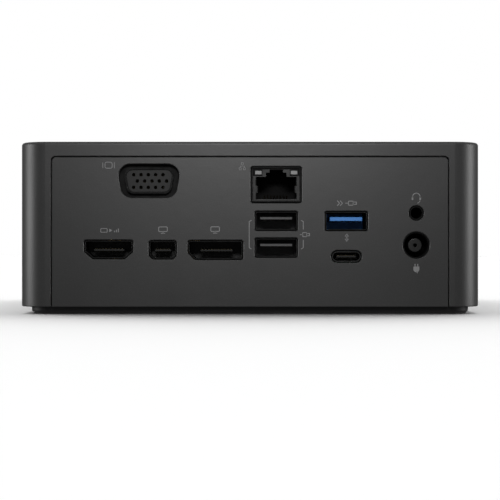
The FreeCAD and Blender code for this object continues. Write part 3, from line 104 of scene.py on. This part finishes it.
def make_world():
    """White behind the object. The surround that lights it is dimmer."""
    world = bpy.data.worlds.new("studio")
    world.use_nodes = True
    bpy.context.scene.world = world
    nodes, links = world.node_tree.nodes, world.node_tree.links
    nodes.clear()
    surround = nodes.new("ShaderNodeBackground")
    seen = nodes.new("ShaderNodeBackground")
    for background, strength in ((surround, SKY_GLOW), (seen, BACKDROP_GLOW)):
        background.inputs["Color"].default_value = WHITE
        background.inputs["Strength"].default_value = strength
    ray = nodes.new("ShaderNodeLightPath")
    mix = nodes.new("ShaderNodeMixShader")
    out = nodes.new("ShaderNodeOutputWorld")
    links.new(ray.outputs["Is Camera Ray"], mix.inputs["Fac"])
    links.new(surround.outputs["Background"], mix.inputs[1])
    links.new(seen.outputs["Background"], mix.inputs[2])
    links.new(mix.outputs["Shader"], out.inputs["Surface"])


FLOOR_HALF = 4.0
FLOOR_COLOUR = (0.93, 0.93, 0.93, 1)


def make_floor():
    """Plain white. Its glow is kept off the object, as black flags would keep it off."""
    corners = [(x * FLOOR_HALF, y * FLOOR_HALF, 0) for x, y in ((-1, -1), (1, -1), (1, 1), (-1, 1))]
    mesh = bpy.data.meshes.new("floor")
    mesh.from_pydata(corners, [], [(0, 1, 2, 3)])
    floor = bpy.data.objects.new("floor", mesh)
    floor.visible_diffuse = False
    floor.visible_glossy = False
    bpy.context.scene.collection.objects.link(floor)
    material = bpy.data.materials.new("floor_white")
    material.use_nodes = True
    nodes, links = material.node_tree.nodes, material.node_tree.links
    nodes.clear()
    matt = nodes.new("ShaderNodeBsdfDiffuse")
    matt.inputs["Color"].default_value = FLOOR_COLOUR
    out = nodes.new("ShaderNodeOutputMaterial")
    links.new(matt.outputs["BSDF"], out.inputs["Surface"])
    mesh.materials.append(material)
    return floor


FLOOR_WASH = 5.6
FLOOR_WASH_TILT = 75.0  # degrees, so that the shadow lies in front of the port panel
FLOOR_WASH_WIDTH = 150.0  # degrees of sky that it fills, so that the shadow is soft
OVERHEAD = 1.0
OVERHEAD_WIDTH = 120.0

KEY = 0.072
KEY_SIZE = (0.10, 0.04)
KEY_PLACE = (0, REAR_Y - 0.32, 0.16)
KEY_TARGET = (0, REAR_Y, 0.055)

SIDE_LAMP = 0.11
SIDE_LAMP_SIZE = (0.22, 0.16)
SIDE_LAMP_X = 0.42
SIDE_LAMP_Y = REAR_Y - 0.055
SIDE_LAMP_HEIGHT = 0.06
SIDE_TARGET_X = 0.069  # just inside the rear face's upright corner
SIDE_TARGET_HEIGHT = 0.03


def lit_things(name, floor, state):
    """The set of things that a light shines on: the floor alone, or all but the floor."""
    group = bpy.data.collections.new(name)
    group.objects.link(floor)
    group.collection_objects[0].light_linking.link_state = state
    return group


def sun_light(name, strength, width):
    """Light from straight above that comes from a width of sky, in degrees."""
    data = bpy.data.lights.new(name, "SUN")
    data.energy = strength
    data.angle = math.radians(width)
    light = bpy.data.objects.new(name, data)
    bpy.context.scene.collection.objects.link(light)
    return light


def make_lights(floor):
    """A wash for the floor alone. For the rest, a wide light overhead and three lamps.

    The key stands high in front of the port panel, and there is a lamp on each side.
    """
    wash = sun_light("floor_wash", FLOOR_WASH, FLOOR_WASH_WIDTH)
    wash.rotation_euler.x = math.radians(-FLOOR_WASH_TILT)
    wash.light_linking.receiver_collection = lit_things("floor_only", floor, "INCLUDE")
    lights = [sun_light("overhead", OVERHEAD, OVERHEAD_WIDTH)]
    lights.append(area_light("key", KEY_PLACE, KEY_TARGET, KEY_SIZE, KEY))
    for side in (-1, 1):
        place = (side * SIDE_LAMP_X, SIDE_LAMP_Y, SIDE_LAMP_HEIGHT)
        target = (side * SIDE_TARGET_X, REAR_Y, SIDE_TARGET_HEIGHT)
        lights.append(area_light("side_lamp", place, target, SIDE_LAMP_SIZE, SIDE_LAMP))
    for light in lights:
        light.light_linking.receiver_collection = lit_things("all_but_floor", floor, "EXCLUDE")


bpy.context.scene.view_settings.view_transform = "Standard"
make_camera()
make_world()
make_lights(make_floor())


# ================================================================ surface finishes
BEVEL_SAMPLES = 4
NOISE_LOW = 0.3  # noise seldom leaves this range
NOISE_HIGH = 0.7
# Edges lighten between these two: partly wear, partly painted highlight.
WEAR_AND_HIGHLIGHT_STARTS = 0.995  # dot product of the rounded normal and the face's own
WEAR_AND_HIGHLIGHT_IS_FULL = 0.80


class Finish:
    """A node material under construction, on coordinates in metres in the object's own frame."""

    def __init__(self, name, colour, roughness, metallic=0.0, specular=0.5):
        self.material = bpy.data.materials.new(name)
        self.material.use_nodes = True
        self.nodes = self.material.node_tree.nodes
        self.links = self.material.node_tree.links
        self.shader = self.nodes["Principled BSDF"]
        self.place = self.nodes.new("ShaderNodeTexCoord").outputs["Object"]
        self.shader.inputs["Base Color"].default_value = (*colour, 1)
        self.shader.inputs["Roughness"].default_value = roughness
        self.shader.inputs["Metallic"].default_value = metallic
        self.shader.inputs["Specular IOR Level"].default_value = specular
        self.colour = colour
        self.roughness = roughness
        self.normal = None

    def noise(self, size_mm, detail=2.0, stretch=(1, 1, 1)):
        """Noise from 0 to 1 whose features are about size_mm across, drawn out along an axis by stretch."""
        mapping = self.nodes.new("ShaderNodeMapping")
        mapping.inputs["Scale"].default_value = [1 / s for s in stretch]
        self.links.new(self.place, mapping.inputs["Vector"])
        texture = self.nodes.new("ShaderNodeTexNoise")
        texture.inputs["Scale"].default_value = 1 / (size_mm * MM)
        texture.inputs["Detail"].default_value = detail
        self.links.new(mapping.outputs["Vector"], texture.inputs["Vector"])
        return texture.outputs["Fac"]

    def ramp(self, value, start, end, first, last):
        """Maps start..end of a value to first..last."""
        node = self.nodes.new("ShaderNodeMapRange")
        for name, number in (("From Min", start), ("From Max", end), ("To Min", first), ("To Max", last)):
            node.inputs[name].default_value = number
        self.links.new(value, node.inputs["Value"])
        return node.outputs["Result"]

    def tint(self, factor, other):
        """Mixes another colour over what there is."""
        socket = self.shader.inputs["Base Color"]
        mix = self.nodes.new("ShaderNodeMix")
        mix.data_type = "RGBA"
        colours = [s for s in mix.inputs if s.type == "RGBA"]
        if socket.is_linked:
            self.links.new(socket.links[0].from_socket, colours[0])
        else:
            colours[0].default_value = (*self.colour, 1)
        colours[1].default_value = (*other, 1)
        self.links.new(factor, mix.inputs["Factor"])
        result = [s for s in mix.outputs if s.type == "RGBA"][0]
        self.links.new(result, socket)

    def uneven_gloss(self, size_mm, spread, stretch=(1, 1, 1)):
        """Roughness that wanders by spread either side of its value."""
        wander = self.noise(size_mm, 3.0, stretch)
        smoothest = self.roughness - spread
        roughest = self.roughness + spread
        value = self.ramp(wander, NOISE_LOW, NOISE_HIGH, smoothest, roughest)
        self.links.new(value, self.shader.inputs["Roughness"])

    def mottle(self, other, size_mm, detail, strength, start=0.35, end=0.65):
        """Patches of another colour: none where noise is at start, and up to strength where it's at end."""
        self.tint(self.ramp(self.noise(size_mm, detail), start, end, 0.0, strength), other)

    def bump(self, height, depth_mm):
        """Adds relief to what there is."""
        node = self.nodes.new("ShaderNodeBump")
        node.inputs["Strength"].default_value = 1.0
        node.inputs["Distance"].default_value = depth_mm * MM
        self.links.new(height, node.inputs["Height"])
        if self.normal:
            self.links.new(self.normal, node.inputs["Normal"])
        self.normal = node.outputs["Normal"]
        self.links.new(self.normal, self.shader.inputs["Normal"])

    def soft_edges(self, radius_mm):
        """Rounds sharp edges in the shading, and returns the rounded normal."""
        node = self.nodes.new("ShaderNodeBevel")
        node.samples = BEVEL_SAMPLES
        node.inputs["Radius"].default_value = radius_mm * MM
        self.normal = node.outputs["Normal"]
        self.links.new(self.normal, self.shader.inputs["Normal"])
        return node.outputs["Normal"]

    def edge_wear_and_highlight(self, bevel_normal, colour, amount):
        """Lightens edges towards a colour, partly as wear and partly as painted highlight: strongest where
        the rounded normal leaves the face's own.
        """
        geometry = self.nodes.new("ShaderNodeNewGeometry")
        dot = self.nodes.new("ShaderNodeVectorMath")
        dot.operation = "DOT_PRODUCT"
        self.links.new(bevel_normal, dot.inputs[0])
        self.links.new(geometry.outputs["Normal"], dot.inputs[1])
        edge = self.ramp(dot.outputs["Value"], WEAR_AND_HIGHLIGHT_STARTS, WEAR_AND_HIGHLIGHT_IS_FULL, 0.0, amount)
        patchy = self.nodes.new("ShaderNodeMath")
        patchy.operation = "MULTIPLY"
        self.links.new(edge, patchy.inputs[0])
        patches = self.ramp(self.noise(3.0, 4.0), 0.35, 0.65, 0.3, 1.0)
        self.links.new(patches, patchy.inputs[1])
        self.tint(patchy.outputs["Value"], colour)


def grey(value):
    return (value, value, value)


def shade(colour, factor, lift=0.0):
    """The colour made darker or brighter by a factor, and lifted a little."""
    return [min(1.0, c * factor + lift) for c in colour]


def moulded(name, colour, roughness, grain_mm=0.35, grain_depth=0.012,
            specular=0.5, wear_and_highlight=0.25, edge_mm=0.12):
    """Matt moulded plastic: spark-eroded grain, faint mottling, and lightened edges that are partly polish
    from wear and partly painted highlight.
    """
    finish = Finish(name, colour, roughness, specular=specular)
    edges = finish.soft_edges(edge_mm)
    finish.bump(finish.noise(grain_mm), grain_depth)
    finish.bump(finish.noise(grain_mm * 7), grain_depth * 1.5)
    finish.uneven_gloss(14.0, 0.015)
    finish.mottle(shade(colour, 0.82), size_mm=22.0, detail=3.0, strength=0.5)
    finish.mottle(shade(colour, 1.3, 0.003), size_mm=grain_mm * 1.3, detail=1.0, strength=0.5,
                  start=0.5, end=0.75)
    # lighter edges: partly wear, partly painted highlight
    finish.edge_wear_and_highlight(edges, shade(colour, 1.8, 0.01), wear_and_highlight)
    return finish.material


def fine_moulded(name, colour, roughness, specular=0.3, wear_and_highlight=0.25):
    """The smoother plastic of a socket's small parts, with sharper edges."""
    return moulded(name, colour, roughness, grain_mm=0.2, grain_depth=0.004,
                   specular=specular, wear_and_highlight=wear_and_highlight, edge_mm=0.06)


def metal(name, colour, roughness, brushed=(1, 1, 1), scratch_depth=0.002, wear_and_highlight=0.3, edge_mm=0.05):
    """Plated or bare metal with fine marks, drawn out along x, y and z as brushed says."""
    finish = Finish(name, colour, roughness, metallic=1.0)
    edges = finish.soft_edges(edge_mm)
    finish.bump(finish.noise(0.12, stretch=brushed), scratch_depth)
    finish.uneven_gloss(2.0, 0.08, brushed)
    finish.mottle(shade(colour, 0.7), size_mm=5.0, detail=4.0, strength=0.6)
    # lighter edges: partly wear, partly painted highlight
    finish.edge_wear_and_highlight(edges, shade(colour, 1.6, 0.05), wear_and_highlight)
    return finish.material


def rubber(name, colour):
    """Dull rubber with a bloom, and lightened edges that are partly scuffs and partly painted highlight."""
    finish = Finish(name, colour, 0.82, specular=0.3)
    edges = finish.soft_edges(0.15)
    finish.bump(finish.noise(0.25, 3.0), 0.02)
    finish.uneven_gloss(6.0, 0.06)
    finish.mottle(shade(colour, 1.7, 0.006), size_mm=9.0, detail=4.0, strength=0.5, start=0.4, end=0.7)
    # lighter edges: partly scuffs, partly painted highlight
    finish.edge_wear_and_highlight(edges, shade(colour, 2, 0.01), 0.3)
    return finish.material


def milky(name, colour, roughness):
    """Light guide: frosted plastic that light sinks into."""
    finish = Finish(name, colour, roughness)
    finish.shader.inputs["Subsurface Weight"].default_value = 0.4
    finish.shader.inputs["Subsurface Radius"].default_value = (2 * MM, 2 * MM, 2 * MM)
    finish.bump(finish.noise(0.3), 0.006)
    finish.uneven_gloss(3.0, 0.06)
    finish.mottle(shade(colour, 0.75), size_mm=2.5, detail=2.0, strength=0.35, start=0.4, end=0.7)
    return finish.material


def circuit_board(name):
    """Green solder mask over tracks that run along both axes, with small plated vias."""
    mask = (0.012, 0.075, 0.035)
    over_track = (0.020, 0.125, 0.055)
    over_cross_track = (0.018, 0.105, 0.050)
    plating = (0.55, 0.55, 0.50)
    via_pitch_mm = 3.0
    finish = Finish(name, mask, 0.32)
    track = finish.ramp(finish.noise(1.2, 0.0, (1, 9, 1)), 0.50, 0.52, 0.0, 1.0)
    cross = finish.ramp(finish.noise(1.5, 0.0, (9, 1, 1)), 0.53, 0.55, 0.0, 1.0)
    finish.tint(track, over_track)
    finish.tint(cross, over_cross_track)
    vias = finish.nodes.new("ShaderNodeTexVoronoi")
    vias.inputs["Scale"].default_value = 1 / (via_pitch_mm * MM)
    finish.links.new(finish.place, vias.inputs["Vector"])
    finish.tint(finish.ramp(vias.outputs["Distance"], 0.13, 0.10, 0.0, 1.0), plating)
    finish.bump(track, 0.02)
    finish.uneven_gloss(8.0, 0.05)
    return finish.material


def make_finishes():
    """One finish for each material slot of the record."""
    return {
        "cover_plastic": moulded("cover_plastic", grey(0.0188), 0.43, specular=0.45),
        "panel_plastic": moulded("panel_plastic", grey(0.0185), 0.40, specular=0.45),
        "base_plastic": moulded("base_plastic", (0.012, 0.012, 0.013), 0.55, specular=0.3),
        "grille_plastic": moulded("grille_plastic", (0.020, 0.0205, 0.021), 0.50, specular=0.35),
        "foot_rubber": rubber("foot_rubber", grey(0.010)),
        "gland_rubber": rubber("gland_rubber", grey(0.011)),
        "black_steel": metal("black_steel", (0.05, 0.05, 0.052), 0.38),
        "plain_steel": metal("plain_steel", (0.45, 0.45, 0.46), 0.34, brushed=(1, 1, 12)),
        "port_metal": metal("port_metal", grey(0.032), 0.45, brushed=(1, 10, 1)),
        # Edges tinted at full strength: painted highlight on the shells' rims, in place of overhead light
        # caught by the rounded sheet.
        "dark_shell": metal("dark_shell", grey(0.012), 0.55, brushed=(1, 10, 1), wear_and_highlight=1.0, edge_mm=0.2),
        "insulator": fine_moulded("insulator", grey(0.0075), 0.50, specular=0.25, wear_and_highlight=0.5),
        "socket_plastic": fine_moulded("socket_plastic", grey(0.006), 0.65, specular=0.05, wear_and_highlight=0.2),
        "grey_tongue": fine_moulded("grey_tongue", (0.062, 0.062, 0.063), 0.50),
        "blue_tongue": fine_moulded("blue_tongue", (0.055, 0.20, 0.52), 0.50),
        # Gold darkened far below its own colour: painted shade for contacts that sit deep inside the
        # sockets.
        "gold_contact": metal("gold_contact", (0.085, 0.072, 0.045), 0.42, brushed=(1, 10, 1),
                              scratch_depth=0.001),
        "light_pipe": milky("light_pipe", grey(0.21), 0.45),
        "light_ring": milky("light_ring", (0.62, 0.64, 0.66), 0.35),
        "board": circuit_board("board"),
        "chip": moulded("chip", (0.018, 0.018, 0.019), 0.55, grain_mm=0.15, grain_depth=0.006),
        "can": metal("can", (0.72, 0.72, 0.74), 0.28, brushed=(1, 1, 12)),
        "coil": moulded("coil", (0.07, 0.07, 0.075), 0.6, grain_mm=0.3, grain_depth=0.02),
        "cable_socket": moulded("cable_socket", (0.62, 0.58, 0.50), 0.45, grain_mm=0.3, grain_depth=0.006),
        "ribbon": moulded("ribbon", (0.55, 0.56, 0.57), 0.45, grain_mm=0.8, grain_depth=0.01),
        "wire_sleeve": moulded("wire_sleeve", grey(0.015), 0.5, grain_mm=0.6, grain_depth=0.02),
        "brass_spacer": metal("brass_spacer", (0.62, 0.44, 0.18), 0.30, brushed=(1, 1, 6)),
        "button_plastic": moulded("button_plastic", (0.024, 0.0245, 0.0255), 0.38,
                                  grain_mm=0.25, grain_depth=0.006, specular=0.4),
        "fan_plastic": moulded("fan_plastic", (0.014, 0.014, 0.015), 0.5, grain_mm=0.4, grain_depth=0.01),
        "bearing_bronze": metal("bearing_bronze", (0.45, 0.27, 0.12), 0.45),
        "magnet": metal("magnet", (0.06, 0.06, 0.065), 0.6),
        "stator_iron": metal("stator_iron", (0.42, 0.22, 0.10), 0.42, brushed=(6, 1, 1)),
        "copper": metal("copper", (0.68, 0.33, 0.20), 0.30, brushed=(6, 6, 1)),
        "fin_aluminium": metal("fin_aluminium", (0.70, 0.71, 0.73), 0.30, brushed=(8, 1, 1)),
        "pad": rubber("pad", (0.34, 0.38, 0.44)),
        "marking_ink": moulded("marking_ink", (0.17, 0.17, 0.172), 0.6,
                               grain_mm=0.15, grain_depth=0.004, wear_and_highlight=0.0),
    }


def finish_nodes(finishes):
    """Gives each CAD node the finish of its material slot."""
    for part in frame["record"]["subparts"]:
        mesh = frame["nodes"][part["node"]].data
        finish = finishes[part["material_slot"]]
        for i in range(len(mesh.materials)):
            mesh.materials[i] = finish
        if not mesh.materials:
            mesh.materials.append(finish)


finishes = make_finishes()
finish_nodes(finishes)


# ================================================================ printed marks, drawn in millimetres
INK_THICK = 0.02
LINE = 0.26  # the usual width of a printed line
FINE_LINE = 0.22
BOLD_LINE = 0.3
SHARPEST_MITRE = 0.4  # keeps a sharp corner's tip from running out


def stroke(points, width=LINE, closed=False):
    """A flat line of even width through the points, with mitred corners, as corners and faces."""
    corners = []
    count = len(points)
    for i, point in enumerate(points):
        here = Vector(point)
        ways = []
        if closed or i > 0:
            ways.append((here - Vector(points[i - 1])).normalized())
        if closed or i < count - 1:
            ways.append((Vector(points[(i + 1) % count]) - here).normalized())
        way = sum(ways, Vector((0, 0))).normalized()
        mitre = max(SHARPEST_MITRE, way.dot(ways[0]))
        across = Vector((-way.y, way.x)) * width / (2 * mitre)
        corners += [here + across, here - across]
    last = count if closed else count - 1
    faces = []
    for i in range(last):
        after = (i + 1) % count
        faces.append([2 * i, 2 * i + 1, 2 * after + 1, 2 * after])
    return corners, faces


def filled(points):
    """The points' outline as one face."""
    return [Vector(p) for p in points], [list(range(len(points)))]


def arc(centre, radius, start, end, steps=14):
    """Points along an arc from start to end, in degrees."""
    turns = [math.radians(start + (end - start) * i / steps) for i in range(steps + 1)]
    return [(centre[0] + radius * math.cos(turn), centre[1] + radius * math.sin(turn)) for turn in turns]


def round_rect(width, height, radius, centre=(0, 0)):
    """Points round a rectangle with rounded corners."""
    reach_x = width / 2 - radius
    reach_z = height / 2 - radius
    points = []
    for side_x, side_z, start in ((1, 1, 0), (-1, 1, 90), (-1, -1, 180), (1, -1, 270)):
        middle_of_arc = (centre[0] + side_x * reach_x, centre[1] + side_z * reach_z)
        points += arc(middle_of_arc, radius, start, start + 90, steps=4)
    return points


def monitor_mark(width, height):
    """A screen on a foot."""
    top = height / 2
    bottom = -height / 2
    screen = height * 0.72
    outline = round_rect(width, screen, radius=0.3, centre=(0, top - screen / 2))
    neck = [(0, top - screen), (0, bottom)]
    foot = [(-width / 4, bottom), (width / 4, bottom)]
    return [stroke(outline, closed=True), stroke(neck), stroke(foot)]


def framed_screen_mark(width, height):
    """A screen between two upright bars."""
    shapes = [stroke(round_rect(width * 0.62, height, radius=0.55), closed=True)]
    for x in (-width / 2, width / 2):
        shapes.append(stroke([(x, -height / 2), (x, height / 2)], FINE_LINE))
    return shapes


def sound_and_picture_mark(width, height):
    """A small screen, an arrowhead, and three bars of rising height."""
    left = -width / 2
    top = height / 2
    screen_width = 2.0
    arrow = left + 2.65
    arrow_length = 1.0
    first_bar = left + 4.3
    bar_pitch = 0.6
    shortest_bar = 0.45 * height
    bar_step = 0.27 * height
    screen = round_rect(screen_width, height, radius=0.2, centre=(left + screen_width / 2, 0))
    shapes = [stroke(screen, width=0.24, closed=True),
              filled([(arrow, -top), (arrow + arrow_length, 0), (arrow, top)])]
    for i in range(3):
        x = first_bar + bar_pitch * i
        shapes.append(stroke([(x, -top), (x, -top + shortest_bar + bar_step * i)], BOLD_LINE))
    return shapes


def network_mark(width, height):
    """Three boxes joined by lines."""
    box = 0.62
    reach = 0.3  # from a box's middle to where its line starts
    line = 0.2
    x = width / 2 - reach
    z = height / 2 - reach
    shapes = []
    for place in ((0, z), (-x, -z), (x, -z)):
        shapes.append(stroke(round_rect(box, box, radius=0.06, centre=place), line, closed=True))
    shapes.append(stroke([(-x, -z + reach), (-x, 0), (x, 0), (x, -z + reach)], line))
    shapes.append(stroke([(0, z - reach), (0, 0)], line))
    return shapes


def plug_mark(width, height):
    """A flat plug on its cable, seen from the side."""
    body_x = width * 0.21
    tip_z = height * 0.28
    body = round_rect(2 * body_x, height, radius=0.2)
    tip = [(body_x, -tip_z), (width / 2, -tip_z), (width / 2, tip_z), (body_x, tip_z)]
    cable = [(-width / 2, 0), (-body_x, 0)]
    return [stroke(body, closed=True), stroke(tip), stroke(cable)]


def fast_plug_mark(width, height):
    """Two chevrons and a plug."""
    first = -width / 2 + 0.2
    pitch = 0.9
    point = 0.75
    shift = Vector((width * 0.22, 0))
    shapes = []
    for x in (first, first + pitch):
        shapes.append(stroke([(x, -height / 2), (x + point, 0), (x, height / 2)]))
    for corners, faces in plug_mark(width * 0.56, height * 0.8):
        shapes.append(([corner + shift for corner in corners], faces))
    return shapes


def two_way_mark(width, height):
    """One upright arrow with a head at each end."""
    tip = height / 2
    head = width * 0.7
    shapes = [stroke([(0, head / 2 - tip), (0, tip - head / 2)], BOLD_LINE)]
    for side in (-1, 1):
        neck = side * (tip - head)
        shapes.append(filled([(-width / 2, neck), (width / 2, neck), (0, side * tip)]))
    return shapes


def headset_mark(width, height):
    """Headband, two ear pads and a microphone arm."""
    radius = width / 2 - 0.3
    band_z = height / 2 - radius - 0.13
    pad_z = height / 2 - radius - 0.55
    arm_z = pad_z - 0.35
    band = arc((0, band_z), radius, -10, 190)
    arm = arc((0, arm_z), radius, -15, -75, steps=8)
    shapes = [stroke(band, width=0.28), stroke(arm, FINE_LINE)]
    for x in (-radius, radius):
        shapes.append(filled(round_rect(0.55, 1.05, radius=0.2, centre=(x, pad_z))))
    return shapes


def power_plug_mark(width, height):
    """A mains plug: two pins, a solid body with a round end, and a short tail."""
    side_x = width / 2
    pin_x = 0.42
    body_top = height * 0.22
    round_z = 0.3 - height * 0.18
    body = [(-side_x, body_top)] + arc((0, round_z), side_x, 180, 360) + [(side_x, body_top)]
    tail = [(0, round_z - 0.8), (0.05, -height / 2 + 0.35), (0.4, -height / 2)]
    shapes = [filled(body), stroke(tail, BOLD_LINE)]
    for x in (-pin_x, pin_x):
        shapes.append(stroke([(x, body_top), (x, height / 2)], width=0.32))
    return shapes


def bracket_marks(half_height, half_gap):
    """Brackets that tie two ports together: one whole on the left, one in two halves on the right."""
    half_width = 8.45
    hook = 0.7
    hook_x = half_width - hook
    hook_z = half_height - hook * 0.6
    shapes = [stroke([(-hook_x, half_height), (-half_width, hook_z),
                      (-half_width, -hook_z), (-hook_x, -half_height)])]
    for side in (-1, 1):
        shapes.append(stroke([(hook_x, side * half_height), (half_width, side * hook_z),
                              (half_width, side * half_gap)]))
    return shapes


def print_mark(name, centre, shapes):
    """Prints a mark on the rear panel, centred on (x, z) in metres. Its shapes are in millimetres."""
    face_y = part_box("rear_panel")[0].y
    mesh_maker = bmesh.new()
    for corners, faces in shapes:
        made = []
        for corner in corners:
            place = (centre[0] + corner.x * MM, face_y, centre[1] + corner.y * MM)
            made.append(mesh_maker.verts.new(place))
        for face in faces:
            mesh_maker.faces.new([made[i] for i in face])
    raised = bmesh.ops.extrude_face_region(mesh_maker, geom=mesh_maker.faces[:])
    front = [item for item in raised["geom"] if isinstance(item, bmesh.types.BMVert)]
    bmesh.ops.translate(mesh_maker, verts=front, vec=(0, -INK_THICK * MM, 0))
    bmesh.ops.recalc_face_normals(mesh_maker, faces=mesh_maker.faces[:])
    mesh = bpy.data.meshes.new(name)
    mesh_maker.to_mesh(mesh)
    mesh_maker.free()
    mesh.materials.append(finishes["marking_ink"])
    mark = bpy.data.objects.new(name, mesh)
    bpy.context.scene.collection.objects.link(mark)
    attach(mark, "housing")


def middle(node):
    low_corner, high_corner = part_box(node)
    return (low_corner + high_corner) / 2


def above(node, x, z):
    """A place x and z millimetres from the middle of a node's top edge."""
    return (middle(node).x + x * MM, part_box(node)[1].z + z * MM)


def beside(node, x, z):
    """A place x and z millimetres from a node's middle."""
    return (middle(node).x + x * MM, middle(node).z + z * MM)


def print_marks():
    """Each mark stands by the port it belongs to. Offsets and sizes are in millimetres."""
    print_mark("mark_analogue", beside("dsub_shell", -12.6, 4.9), framed_screen_mark(3.6, 1.9))
    print_mark("mark_wide_video", above("av_port_shell", 0.4, 3.2), sound_and_picture_mark(5.7, 1.15))
    print_mark("mark_small_video", above("small_video_shell", 0.1, 3.4), monitor_mark(2.7, 2.0))
    print_mark("mark_full_video", above("full_video_shell", -0.1, 3.4), monitor_mark(2.7, 2.0))
    print_mark("mark_network", above("lan_frame", -10.6, 1.0), network_mark(1.9, 2.2))
    print_mark("mark_pair", beside("stack_usb_tongues", 0, -0.1), bracket_marks(4.5, 1.6))
    print_mark("mark_plug", beside("stack_usb_tongues", 8.9, -0.1), plug_mark(3.0, 1.3))
    over_usb_c = (middle("usb_c_shell").x, above("usb_a_shells", 0, 2.7)[1])
    print_mark("mark_fast_plug", over_usb_c, fast_plug_mark(6.2, 1.6))
    print_mark("mark_two_way", above("usb_c_shell", 0.1, 4.3), two_way_mark(1.3, 2.6))
    print_mark("mark_headset", beside("dc_jack_post", 0, 14.8), headset_mark(3.0, 3.2))
    print_mark("mark_power", beside("dc_jack_post", 0, -7.3), power_plug_mark(1.9, 2.9))


print_marks()
